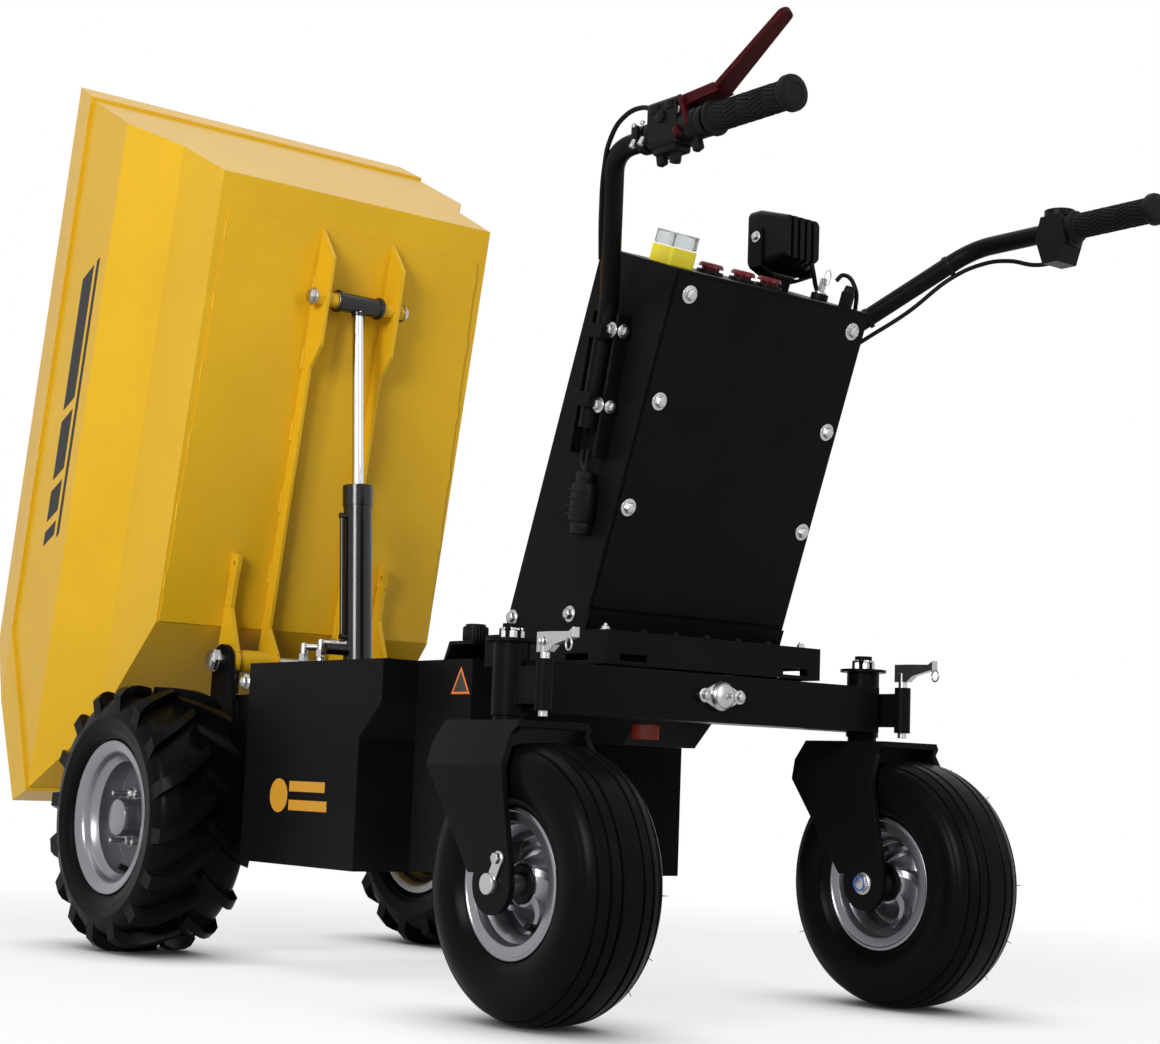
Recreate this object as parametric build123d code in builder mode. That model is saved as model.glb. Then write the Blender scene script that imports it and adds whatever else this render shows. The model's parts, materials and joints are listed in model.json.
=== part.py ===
"""Electric walk-behind site dumper with a forward-tipping skip, built as separate pieces.

Millimetres.  +X is the way it travels, +Y the operator's left, +Z up; the wheels stand on
z = 0 and the origin is on the ground at the middle of the machine's length.  The skip is
raised and the tipping ram is out.  Stations along the machine are counted from the drive
axle, and at() turns them into places in the machine's frame.
"""
from build123d import *
from math import cos, radians, sin
import os

# ---------------------------------------------------------------- driving dimensions
# wheels
drive_r = 205.0
drive_track_half = 289.0
caster_r = 165.0
caster_track_half = 308.6
caster_behind = 953.0
caster_trail = 82.0
rim_wall = 4.0
rim_drop = 12.0
lug_count = 16
lug_foot_r = 150.0
lug_over = 2.0
run_gap = 0.05
side_gap = 0.5

# drive axle
axle_tube_r = 30.0
axle_tube_half = 254.0
stub_r = 15.0
collar_r = 23.0
stub_nut_r = 21.0
stub_nut = 14.0
unit_r = 62.0
unit_half = 74.0
seat_y = 112.0
seat_width = 40.0
seat_length = 90.0

# caster forks
fork_wall = 8.0
fork_inner_half = 70.0
fork_crown_half = 52.0
fork_crown_z = 355.0
fork_shoulder_z = 301.0
fork_eye_r = 36.0
fork_front = 58.0
fork_front_bulge = 66.0
fork_rear = 92.0
fork_waist_z = 176.0
fork_waist_front = -36.0
fork_waist_rear = -118.0
fork_length = 280.0
stem_r = 12.0
thrust_r = 20.0
stem_nut_r = 16.0
stem_nut = 12.0
stem_out = 6.0
slide_gap = 1.0
caster_bolt_r = 8.0
bolt_head_r = 13.0
bolt_head = 8.0
spacer_r = 14.0

# chassis box and the narrow frame between the drive wheels
box_half = 248.0
box_front = -216.0
box_rear = -579.0
box_rear_low = -526.0
box_top = 445.0
box_knee_top = 386.0
box_knee_low = 335.0
box_bottom = 151.0
sheet = 4.0
frame_half = 148.0
frame_front = 62.0
frame_bottom = 247.0
frame_top = 405.0
frame_nose = 40.0
drain_r = 8.0
battery_top = 280.0
battery_gap = 0.3

# well in the deck, which the ram folds into
well_half = 92.0
well_front = -75.0
well_level = -170.0
well_rear = -565.0
well_floor = 285.0
well_floor_rear = 424.0

# tail box, neck, tray and cross beam
tail_half = 190.0
tail_rear = -708.0
tail_bottom = 156.0
neck_half = 64.0
neck_ahead = 42.0
neck_slope = 34.0
neck_drop = 54.0
neck_bottom = 336.0
neck_top = 424.0
pivot_pin_r = 16.0
pivot_pin_z = 402.0
pivot_pin_out = 6.0
tray_half = 188.0
tray_front = -732.0
tray_rear = -988.0
tray_rib_end = 20.0
tray_bottom = 433.0
tray_top = 476.0
tray_rib_y = 50.0
tray_rib = 12.0
slot_y = 142.0
slot_width = 46.0
slot_height = 9.0
slot_rise = 5.0
slot_behind = 58.0
beam_ahead = 21.0
beam_behind = 39.0
beam_end = 8.0
beam_bottom = 368.0
beam_top = 430.0
stem_tube_r = 22.5
stem_tube_low = 362.0
stem_tube_top = 452.0
stem_cap = 4.0
stem_cap_r = 32.0
lock_behind = 72.0
lock_y = 312.0
lock_tube_r = 11.0
lock_pin_r = 6.0
lock_web = 8.0
lock_gap = 6.0
lock_pin_rise = 8.0
lock_lever_wall = 5.0
lock_lever_reach = 58.0
lock_lever_height = 24.0
lock_lever_slim = 8.0
bearing_width = 92.0
bearing_height = 50.0
bearing_wall = 8.0

# filler on the tail
filler_x = -668.0
filler_y = 158.0
filler_r = 18.0
filler_top = 496.0
filler_plate_z = 470.0
filler_plate = 5.0
filler_plate_half = 32.5
filler_fold = 28.0
filler_lean = 12.0

# console
console_half = 172.0
console_foot_x = -764.5
console_foot_z = 512.5
console_foot_rear_z = 502.0
console_height = 494.5
console_depth = 162.0
console_lean = 19.87
console_sheet = 3.0
panel_inset = 5.0
panel_wall = 4.0

# skip, in its own axes: a runs along the floor from the rear corner to the pouring end,
# v stands on the floor into the load space
tip_angle = 79.1
pivot_x = 30.0
pivot_z = 460.0
pivot_a = 784.0
pivot_v = -45.0
floor_length = 735.8
rear_slope = 0.30
lip_foot_a, lip_foot_v = 1056.3, 218.0
lip_a, lip_v = 1084.0, 265.5
knuckle_a = 842.0
rim_v = 439.0
band_v = 371.0
band_knuckle_a = 812.0
skin = 4.0
band = 5.0
beyond = 50.0
doubler = 3.0
doubler_rear_a = 57.0
doubler_front_a = 733.0
doubler_rear_half = 246.0
doubler_front_half = 262.0
# section of the skip: height over the floor, half width
skip_section = [(0.0, 265.0), (128.0, 277.0), (218.0, 340.5), (371.0, 338.5), (439.0, 329.0)]

# tipping gear
tip_pin_r = 12.5
tip_pin_half = 170.0
tip_head_r = 19.0
tip_head = 12.0
knuckle_r = 26.0
sleeve_r = 20.0
rib_y = 66.0
rib_wall = 6.0
rib_head = 52.0
rib_slim = 27.0
rib_crown_a, rib_crown_end_a, rib_waist_a = 105.0, 250.0, 292.0
rib_foot_behind = 56.0
eye_cheek_behind, eye_cheek_out = 19.0, 19.0
eye_lip_ahead, eye_lip_in = 20.0, 17.0
eye_root_behind = 9.0
lug_y = 140.0
lug_wall = 8.0
lug_top_a = 610.0
lug_tab = 32.0
lug_slot_length = 58.0
lug_slot = 8.0
lug_tab_out = 26.0
lug_out = 24.0
lug_hole_r = 4.0
bracket_y = 153.0
bracket_wall = 9.0
bracket_r = 27.0
bracket_foot = 60.0
bracket_head = 10.0
bracket_back = 52.0
eye_a, eye_v = 173.0, -33.0
eye_r = 15.0
eye_half = 44.0
boss_r = 12.0
boss_gap = 1.0
boss_head_r = 14.0
boss_head = 14.0
ram_foot_x = -139.8
ram_foot_z = 315.2
barrel_length = 440.0
barrel_r = 23.5
gland_r = 25.0
gland = 34.0
rod_r = 9.5
rod_length = 370.0
bore_start = 80.0
ram_pin_r = 12.0
ram_eye_r = 22.0
ram_eye_half = 22.0
ear_y = 24.0
ear_wall = 12.0
ear_r = 24.0
ear_pin_out = 6.0
pipe_r = 4.0
pipe_side = 30.0
pipe_low, pipe_high = 185.0, 392.0
port_r = 9.0
port_reach = 62.0
port_at = 168.0

# handlebars and what is on them
bar_r = 12.5
bar_foot = (-938.0, 190.0, 735.0)
bar_knee = (-973.0, 190.0, 894.0)
bar_bend = (-1132.6, 320.0, 1030.4)
bar_end_x = -1434.0
bar_knee_r = 40.0
bar_bend_r = 70.0
clip_wall = 5.0
channel_width = 58.0
channel_depth = 22.0
channel_start, channel_end = -34.0, 150.0
saddle = 18.0
housing_front, housing_rear = -1212.0, -1262.0
housing_width, housing_height = 36.0, 56.0
housing_lift = 8.0
housing_round = 8.0
ring_wide = 8.0
lever_root = (-1262.5, 1057.0)
lever_neck = (-1318.0, 1060.0)
lever_tip = (-1424.0, 1126.0)
lever_wall = 7.0
lever_neck_half = 13.0
lever_tip_half = 9.0
control_front, control_rear = -1265.0, -1297.0
pod_top = 17.0
pod_cap = 9.0
pod_flare = 8.0
pod_narrow = 4.0
pod_bottom = 984.0
pod_half = 20.0
grip_r = 17.0
grip_flange_r = 21.0
grip_flange = 5.0
grip_length = 132.0
grip_cap = 5.0

# ---------------------------------------------------------------- places that follow
lean = radians(console_lean)
tilt = radians(90.0 - tip_angle)
along = Vector(sin(tilt), 0, -cos(tilt))
inward = Vector(cos(tilt), 0, sin(tilt))


def in_skip(a, v):
    """A point given in the skip's own axes, counted from the drive axle."""
    return Vector(pivot_x, 0, pivot_z) + along * (a - pivot_a) + inward * (v - pivot_v)


bar_tip_x = bar_end_x - grip_cap
axle_x = -(in_skip(knuckle_a, rim_v).X + bar_tip_x) / 2


def at(x, y=0.0, z=0.0):
    """A place whose x is counted from the drive axle, in the machine's frame."""
    return (axle_x + x, y, z)


def side(y=0.0):
    """Side view at a width: local x is forward of the drive axle, local y is the height."""
    return Plane(origin=at(0, y), x_dir=(1, 0, 0), z_dir=(0, -1, 0))


def front(x, y, z):
    """View from the front: local x is across the machine, local y is up, z is forward."""
    return Plane(origin=at(x, y, z), x_dir=(0, 1, 0), z_dir=(1, 0, 0))


def round_at(x, y, z):
    """Plane for a round section that is extruded toward +Y."""
    return Plane(origin=at(x, y, z), x_dir=(1, 0, 0), z_dir=(0, 1, 0))


def skip_side(y=0.0):
    """Side view in the skip's own axes: local x is a, local y is v."""
    corner = in_skip(0, 0)
    return Plane(origin=at(corner.X, y, corner.Z), x_dir=tuple(along), z_dir=(0, -1, 0))


def skip_across(a):
    """Section through the skip: local x is across the machine, local y is v."""
    place = in_skip(a, 0)
    return Plane(origin=at(place.X, 0, place.Z), x_dir=(0, 1, 0), z_dir=tuple(along))


def console_deck(y, back):
    """Plane on the console's sloping top: local x forward, z out, back from its front edge."""
    x = console_foot_x - console_height * sin(lean) - back * cos(lean)
    z = console_foot_z + console_height * cos(lean) - back * sin(lean)
    return Plane(origin=at(x, y, z), x_dir=(cos(lean), 0, sin(lean)), z_dir=(-sin(lean), 0, cos(lean)))


def save(name, part):
    """Label a finished piece and write it as its own file."""
    part.label = name
    export_step(part, f"parts/{name}.step")


os.makedirs("parts", exist_ok=True)

# ---------------------------------------------------------------- chassis
# sheet metal box with a narrow frame in front of it, and a well for the ram in its deck
with BuildPart() as chassis_tub:
    with BuildSketch(side()):
        Polygon((box_front, box_bottom), (box_front, box_top), (box_rear, box_top),
                (box_rear, box_knee_top), (box_rear_low, box_knee_low),
                (box_rear_low, box_bottom), align=None)
    extrude(amount=box_half, both=True)
    with BuildSketch(side()):
        Polygon((box_front, frame_bottom), (frame_front, frame_bottom),
                (frame_front, frame_top - frame_nose), (frame_front - frame_nose, frame_top),
                (box_front, frame_top), align=None)
    extrude(amount=frame_half, both=True)
    with BuildSketch(side()):
        Polygon((box_front - sheet, box_bottom + sheet), (box_front - sheet, box_top - sheet),
                (box_rear + sheet, box_top - sheet), (box_rear + sheet, box_knee_top + sheet / 2),
                (box_rear_low + sheet, box_knee_low + sheet / 2),
                (box_rear_low + sheet, box_bottom + sheet), align=None)
    extrude(amount=box_half - sheet, both=True, mode=Mode.SUBTRACT)
    with BuildSketch(side()):
        Polygon((box_front - 2 * sheet, frame_bottom + sheet),
                (frame_front - sheet, frame_bottom + sheet),
                (frame_front - sheet, frame_top - frame_nose - sheet / 2),
                (frame_front - frame_nose - sheet / 2, frame_top - sheet),
                (box_front - 2 * sheet, frame_top - sheet), align=None)
    extrude(amount=frame_half - sheet, both=True, mode=Mode.SUBTRACT)
    with BuildSketch(side()):
        Polygon((well_front + sheet, well_floor - sheet), (well_front + sheet, frame_top),
                (box_front, frame_top), (box_front, box_top), (well_rear - sheet, box_top),
                (well_rear - sheet, well_floor_rear - sheet),
                (well_level, well_floor - sheet), align=None)
    extrude(amount=well_half + sheet, both=True)
    with BuildSketch(side()):
        Polygon((well_front, well_floor), (well_front, box_top), (well_rear, box_top),
                (well_rear, well_floor_rear), (well_level, well_floor), align=None)
    extrude(amount=well_half, both=True, mode=Mode.SUBTRACT)
    with BuildSketch(Plane(origin=at(0, 0, frame_bottom))):
        Rectangle(2 * unit_r + 2 * sheet, 2 * unit_half + 2 * sheet)
    extrude(amount=sheet, mode=Mode.SUBTRACT)
save("chassis_tub", chassis_tub.part)

# closed in the box: the battery pack, one plain block
with BuildPart() as battery_block:
    with BuildSketch(Plane(origin=at((box_front + box_rear_low) / 2, 0, box_bottom + sheet))):
        Rectangle(box_front - box_rear_low - 2 * sheet - 2 * battery_gap,
                  2 * (box_half - sheet - battery_gap))
    extrude(amount=battery_top - box_bottom - sheet)
save("battery_block", battery_block.part)

# two seats hang the drive unit and its axle tube under the frame; the stubs carry the hubs
hub_in = 7.0
hub_out = 41.0
hub_inner_y = drive_track_half - hub_in - side_gap
hub_outer_y = drive_track_half + hub_out + side_gap
# radius, half length
axle_steps = [(unit_r, unit_half), (axle_tube_r, axle_tube_half), (collar_r, hub_inner_y),
              (stub_r, hub_outer_y + stub_nut)]
with BuildPart() as drive_axle:
    for step_r, step_half in axle_steps:
        with BuildSketch(round_at(0, 0, drive_r)):
            Circle(step_r)
        extrude(amount=step_half, both=True)
    for sign in (-1, 1):
        with BuildSketch(round_at(0, sign * (hub_outer_y + stub_nut / 2), drive_r)):
            RegularPolygon(stub_nut_r, 6)
        extrude(amount=stub_nut / 2, both=True)
        with BuildSketch(Plane(origin=at(0, sign * seat_y, drive_r))):
            Rectangle(seat_length, seat_width)
        extrude(amount=frame_bottom - drive_r)
save("drive_axle", drive_axle.part)

# plates on the frame's sides that hold the tipping shaft
with BuildPart() as hinge_brackets:
    for sign in (-1, 1):
        with BuildSketch(side(sign * (bracket_y + bracket_wall / 2))):
            with Locations((pivot_x, pivot_z)):
                Circle(bracket_r)
            Polygon((pivot_x - bracket_r, pivot_z), (pivot_x - bracket_back, frame_top - bracket_foot),
                    (frame_front, frame_top - bracket_foot), (pivot_x + bracket_r, pivot_z), align=None)
            with Locations((pivot_x, pivot_z)):
                Circle(tip_pin_r + run_gap, mode=Mode.SUBTRACT)
        extrude(amount=bracket_wall / 2, both=True)
        with BuildSketch(side(sign * (frame_half + bracket_y) / 2)):
            Polygon((pivot_x - bracket_back, frame_top - bracket_foot),
                    (pivot_x - bracket_back + bracket_head, frame_top - bracket_head),
                    (frame_front - frame_nose, frame_top - bracket_head),
                    (frame_front, frame_top - frame_nose - bracket_head),
                    (frame_front, frame_top - bracket_foot), align=None)
        extrude(amount=(bracket_y - frame_half) / 2, both=True)
save("hinge_brackets", hinge_brackets.part)

# shaft that the skip tips on, with a bolt head at each end
with BuildPart() as tip_shaft:
    with BuildSketch(round_at(pivot_x, 0, pivot_z)):
        Circle(tip_pin_r)
    extrude(amount=tip_pin_half, both=True)
    for sign in (-1, 1):
        with BuildSketch(round_at(pivot_x, sign * (tip_pin_half + tip_head / 2), pivot_z)):
            RegularPolygon(tip_head_r, 6)
        extrude(amount=tip_head / 2, both=True)
save("tip_shaft", tip_shaft.part)

# ears in the well with the pin that the ram swings on
with BuildPart() as ram_bracket:
    for sign in (-1, 1):
        with BuildSketch(side(sign * (ear_y + ear_wall / 2))):
            with Locations((ram_foot_x, ram_foot_z)):
                Circle(ear_r)
            with Locations((ram_foot_x, (ram_foot_z + well_floor) / 2)):
                Rectangle(2 * ear_r, ram_foot_z - well_floor)
        extrude(amount=ear_wall / 2, both=True)
    with BuildSketch(round_at(ram_foot_x, 0, ram_foot_z)):
        Circle(ram_pin_r)
    extrude(amount=ear_y + ear_wall + ear_pin_out, both=True)
save("ram_bracket", ram_bracket.part)

# box behind the battery, drained at the bottom
with BuildPart() as tail_box:
    with BuildSketch(side()):
        Polygon((box_rear, box_knee_top), (box_rear, box_top), (tail_rear, box_top),
                (tail_rear, tail_bottom), (box_rear, tail_bottom), align=None)
    extrude(amount=tail_half, both=True)
    with BuildSketch(side()):
        Polygon((box_rear - sheet, tail_bottom + sheet), (box_rear - sheet, box_top - sheet),
                (tail_rear + sheet, box_top - sheet), (tail_rear + sheet, tail_bottom + sheet),
                align=None)
    extrude(amount=tail_half - sheet, both=True, mode=Mode.SUBTRACT)
    with BuildSketch(Plane(origin=at((box_rear + tail_rear) / 2, 0, tail_bottom))):
        Circle(drain_r)
    extrude(amount=sheet, mode=Mode.SUBTRACT)
save("tail_box", tail_box.part)

# folded plate on the tail's top left corner, and the filler cap that stands on it
with BuildPart() as filler_bracket:
    with BuildSketch(side(tail_half - filler_plate_half)):
        foot, fold = filler_x + filler_fold, filler_x + filler_fold - filler_lean
        Polygon((foot, box_top), (fold, filler_plate_z), (tail_rear, filler_plate_z),
                (tail_rear, filler_plate_z - filler_plate),
                (fold - filler_plate, filler_plate_z - filler_plate),
                (foot - filler_plate, box_top), align=None)
    extrude(amount=filler_plate_half, both=True)
save("filler_bracket", filler_bracket.part)
with BuildPart() as filler_cap:
    with BuildSketch(Plane(origin=at(filler_x, filler_y, filler_plate_z))):
        Circle(filler_r)
    extrude(amount=filler_top - filler_plate_z)
    fillet(filler_cap.edges().group_by(Axis.Z)[-1], 3)
save("filler_cap", filler_cap.part)

# neck from the tail back to the cross beam, with the pin the beam hangs on
beam_front = beam_ahead - caster_behind
beam_rear = -caster_behind - beam_behind
neck_rear = neck_ahead - caster_behind
with BuildPart() as neck:
    with BuildSketch(side()):
        Polygon((tail_rear, neck_bottom), (tail_rear, neck_top), (neck_rear, neck_top),
                (neck_rear, neck_top - neck_drop), (neck_rear + neck_slope, neck_bottom), align=None)
    extrude(amount=neck_half, both=True)
    with BuildSketch(front(neck_rear, 0, pivot_pin_z)):
        Circle(pivot_pin_r)
    extrude(amount=beam_rear - bearing_wall - pivot_pin_out - neck_rear)
save("neck", neck.part)

# folded tray on the neck, open below, with lifting slots in its skirts
with BuildPart() as tray:
    with BuildSketch(side()):
        Polygon((tray_front, tray_bottom), (tray_front, tray_top), (tray_rear, tray_top),
                (tray_rear, tray_bottom), align=None)
    extrude(amount=tray_half, both=True)
    with BuildSketch(side()):
        Polygon((tray_front - sheet, tray_bottom), (tray_front - sheet, tray_top - sheet),
                (tray_rear + sheet, tray_top - sheet), (tray_rear + sheet, tray_bottom), align=None)
    extrude(amount=tray_half - sheet, both=True, mode=Mode.SUBTRACT)
    for sign in (-1, 1):
        with BuildSketch(side(sign * tray_rib_y)):
            Polygon((tray_front - sheet, tray_bottom), (tray_front - sheet, tray_top - sheet),
                    (tray_rear + sheet, tray_top - sheet), (tray_rear + sheet, tray_bottom),
                    (neck_rear, tray_bottom), (neck_rear, neck_top),
                    (tray_front - tray_rib_end, neck_top), (tray_front - tray_rib_end, tray_bottom),
                    align=None)
        extrude(amount=tray_rib / 2, both=True)
        with BuildSketch(front(tray_rear, sign * slot_y, tray_bottom + slot_rise + slot_height / 2)):
            Rectangle(slot_width, slot_height)
        extrude(amount=sheet, mode=Mode.SUBTRACT)
        with BuildSketch(side(sign * (tray_half - sheet / 2))):
            with Locations((tray_rear + slot_behind, tray_bottom + slot_rise + slot_height / 2)):
                Rectangle(slot_width, slot_height)
        extrude(amount=sheet / 2, both=True, mode=Mode.SUBTRACT)
save("tray", tray.part)

# cross beam with a swivel tube at each end and a guide tube for each lock pin
with BuildPart() as rear_beam:
    with BuildSketch(side()):
        Polygon((beam_front, beam_bottom), (beam_front, beam_top), (beam_rear, beam_top),
                (beam_rear, beam_bottom), align=None)
    extrude(amount=caster_track_half - beam_end, both=True)
    for sign in (-1, 1):
        stem_y = sign * caster_track_half
        with BuildSketch(Plane(origin=at(-caster_behind, stem_y, stem_tube_low))):
            Circle(stem_tube_r)
        extrude(amount=stem_tube_top - stem_tube_low)
        with BuildSketch(Plane(origin=at(-caster_behind, stem_y, stem_tube_top))):
            Circle(stem_cap_r)
        extrude(amount=stem_cap)
        with BuildSketch(Plane(origin=at(-caster_behind - lock_behind, sign * lock_y, beam_bottom))):
            Circle(lock_tube_r)
        extrude(amount=beam_top - beam_bottom)
        with BuildSketch(Plane(origin=at(-caster_behind - (lock_behind + stem_r) / 2,
                                         sign * lock_y, beam_bottom + lock_web))):
            Rectangle(lock_behind - stem_r, lock_web)
        extrude(amount=beam_top - beam_bottom - 2 * lock_web)
        with BuildSketch(Plane(origin=at(-caster_behind, stem_y, stem_tube_low))):
            Circle(stem_r + run_gap)
        extrude(amount=stem_tube_top + stem_cap - stem_tube_low, mode=Mode.SUBTRACT)
        with BuildSketch(Plane(origin=at(-caster_behind - lock_behind, sign * lock_y, beam_bottom))):
            Circle(lock_pin_r + run_gap)
        extrude(amount=beam_top - beam_bottom, mode=Mode.SUBTRACT)
    with BuildSketch(front(beam_front, 0, pivot_pin_z)):
        Circle(pivot_pin_r + run_gap)
    extrude(amount=beam_rear - beam_front, mode=Mode.SUBTRACT)
save("rear_beam", rear_beam.part)

# diamond flange bearing on the beam's rear face
with BuildPart() as pivot_bearing:
    with BuildSketch(front(beam_rear, 0, pivot_pin_z)):
        with BuildLine():
            Polyline((-bearing_width / 2, 0), (0, bearing_height / 2), (bearing_width / 2, 0),
                     (0, -bearing_height / 2), close=True)
        make_face()
        Circle(pivot_pin_r + run_gap, mode=Mode.SUBTRACT)
    extrude(amount=-bearing_wall)
save("pivot_bearing", pivot_bearing.part)

# lock pins, drawn up clear of the forks, each hung in a stamped lever that tapers to the rear
with BuildPart() as lock_pins:
    for sign in (-1, 1):
        lock_x = -caster_behind - lock_behind
        lever_z = beam_top + lock_pin_rise
        with BuildSketch(Plane(origin=at(lock_x, sign * lock_y, fork_crown_z + lock_gap))):
            Circle(lock_pin_r)
        extrude(amount=lever_z + lock_lever_height / 2 - fork_crown_z - lock_gap)
        with BuildSketch(side(sign * lock_y)):
            Polygon((lock_x + lock_tube_r, lever_z), (lock_x + lock_tube_r, lever_z + lock_lever_height),
                    (lock_x - lock_tube_r, lever_z + lock_lever_height),
                    (lock_x - lock_lever_reach + lock_lever_slim, lever_z + lock_lever_height - 1),
                    (lock_x - lock_lever_reach, lever_z + lock_lever_height + lock_lever_slim / 2),
                    (lock_x - lock_lever_reach, lever_z + lock_lever_height - lock_lever_slim),
                    (lock_x - 2 * lock_tube_r, lever_z + lock_lever_slim),
                    (lock_x - lock_tube_r, lever_z), align=None)
        extrude(amount=lock_lever_wall, both=True)
save("lock_pins", lock_pins.part)

# ---------------------------------------------------------------- console
console_up = Vector(-sin(lean), 0, cos(lean))
console_back = Vector(-cos(lean), 0, -sin(lean))
console_foot = Vector(console_foot_x, 0, console_foot_z)
console_top_front = console_foot + console_up * console_height


foot_fall = (console_foot_z - console_foot_rear_z) / console_depth


def on_console(back, z):
    """Point on the line parallel to the console's face, so far behind it, at a height."""
    start = console_foot + console_back * back
    return (start.X - (z - start.Z) * sin(lean) / cos(lean), z)


def under_console_top(back, drop):
    """Point so far behind the console's face and so far under its sloping top."""
    place = console_top_front + console_back * back - console_up * drop
    return (place.X, place.Z)


# frame of folded sheet between tray and console
with BuildPart() as console_base:
    with BuildSketch(side()):
        Polygon(on_console(0, tray_top), on_console(0, console_foot_z),
                on_console(console_depth, console_foot_rear_z),
                on_console(console_depth, tray_top), align=None)
    extrude(amount=console_half, both=True)
    with BuildSketch(side()):
        Polygon(on_console(console_sheet, tray_top), on_console(console_sheet, console_foot_z),
                on_console(console_depth - console_sheet, console_foot_z),
                on_console(console_depth - console_sheet, tray_top), align=None)
    extrude(amount=console_half - console_sheet, both=True, mode=Mode.SUBTRACT)
save("console_base", console_base.part)

# leaning cabinet, open below, and the plate that closes its back
shell_depth = console_depth - panel_wall
with BuildPart() as console_housing:
    with BuildSketch(side()):
        Polygon(on_console(0, console_foot_z), under_console_top(0, 0),
                under_console_top(shell_depth, 0),
                on_console(shell_depth, console_foot_z - shell_depth * foot_fall), align=None)
    extrude(amount=console_half, both=True)
    with BuildSketch(side()):
        Polygon(on_console(console_sheet, tray_top),
                under_console_top(console_sheet, console_sheet),
                under_console_top(shell_depth - console_sheet, console_sheet),
                on_console(shell_depth - console_sheet, tray_top), align=None)
    extrude(amount=console_half - console_sheet, both=True, mode=Mode.SUBTRACT)
save("console_housing", console_housing.part)
with BuildPart() as console_panel:
    with BuildSketch(side()):
        Polygon(under_console_top(shell_depth, panel_inset),
                under_console_top(console_depth, panel_inset),
                on_console(console_depth, console_foot_rear_z + panel_inset),
                on_console(shell_depth, console_foot_rear_z + panel_inset), align=None)
    extrude(amount=console_half - panel_inset, both=True)
save("console_panel", console_panel.part)

# guarded switch at the left of the console's top, under a clear lid
deck_mid = console_depth / 2
guard_y, guard_side, guard_height = 120.0, 44.0, 22.0
lid_height = 20.0
with BuildPart() as switch_guard:
    with BuildSketch(console_deck(guard_y, deck_mid)):
        RectangleRounded(guard_side, guard_side, 5)
    extrude(amount=guard_height)
save("switch_guard", switch_guard.part)
with BuildPart() as switch_lid:
    with BuildSketch(console_deck(guard_y, deck_mid).offset(guard_height)):
        RectangleRounded(guard_side - 3, guard_side - 3, 4)
    extrude(amount=lid_height)
save("switch_lid", switch_lid.part)

# caps on the console's top: place across, radius, height
cap_table = [(53.0, 14.0, 20.0), (-4.0, 14.0, 20.0), (-52.0, 14.0, 18.0), (-148.0, 10.0, 16.0)]
with BuildPart() as control_caps:
    for cap_y, cap_r, cap_height in cap_table:
        with BuildSketch(console_deck(cap_y, deck_mid)):
            Circle(cap_r)
        extrude(amount=cap_height)
save("control_caps", control_caps.part)

# work lamp facing forward: a finned body that tapers to the rear behind its square lens
lamp_x, lamp_y, lamp_z = -985.0, -109.0, 1027.0
lamp_half = 45.0
lamp_half_height = 41.0
lamp_depth = 60.0
lens_depth = 16.0
lamp_taper = 0.70
fin_count = 5
fin_gap = 6.0
fin_depth = 16.0
yoke_wall = 4.0
yoke_foot_half = 22.0
yoke_width = 22.0
lamp_rear_plane = front(lamp_x - lamp_depth / 2, lamp_y, lamp_z)
with BuildPart() as work_lamp:
    with BuildSketch(lamp_rear_plane):
        RectangleRounded(2 * lamp_half * lamp_taper, 2 * lamp_half_height * lamp_taper, 8)
    with BuildSketch(lamp_rear_plane.offset(lamp_depth - lens_depth)):
        RectangleRounded(2 * lamp_half, 2 * lamp_half_height, 12)
    loft()
    with BuildSketch(lamp_rear_plane.offset(lamp_depth - lens_depth)):
        RectangleRounded(2 * lamp_half, 2 * lamp_half_height, 12)
    extrude(amount=lens_depth)
    fin_pitch = 2 * lamp_half * lamp_taper / fin_count
    with BuildSketch(lamp_rear_plane):
        with GridLocations(fin_pitch, 1, fin_count - 1, 1):
            Rectangle(fin_gap, 2 * lamp_half_height)
    extrude(amount=fin_depth, mode=Mode.SUBTRACT)
save("work_lamp", work_lamp.part)
yoke_x = lamp_x + (lamp_depth - lens_depth - yoke_width) / 2
lamp_deck = console_deck(lamp_y, (console_top_front.X - yoke_x) / cos(lean))
yoke_rise = 16.0
yoke_shoulder = 12.0
with BuildPart() as lamp_yoke:
    with BuildSketch(lamp_deck):
        Circle(yoke_width / 2)
    extrude(amount=yoke_rise - yoke_wall / 2)
    with BuildSketch(front(yoke_x, lamp_y, lamp_deck.origin.Z + yoke_rise)):
        yoke_top = lamp_z - lamp_deck.origin.Z - yoke_rise + yoke_shoulder
        shoulder = lamp_z - lamp_half_height - lamp_deck.origin.Z - yoke_rise
        outer_half = lamp_half + yoke_wall
        half_yoke = [(outer_half, yoke_top), (outer_half, shoulder), (yoke_foot_half, -yoke_wall)]
        half_inner = [(yoke_foot_half - 2, 0), (lamp_half, shoulder + 2), (lamp_half, yoke_top)]
        Polygon(*half_yoke, *[(-y, z) for y, z in reversed(half_yoke)],
                *[(-y, z) for y, z in reversed(half_inner)], *half_inner, align=None)
    extrude(amount=yoke_width / 2, both=True)
save("lamp_yoke", lamp_yoke.part)

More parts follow.
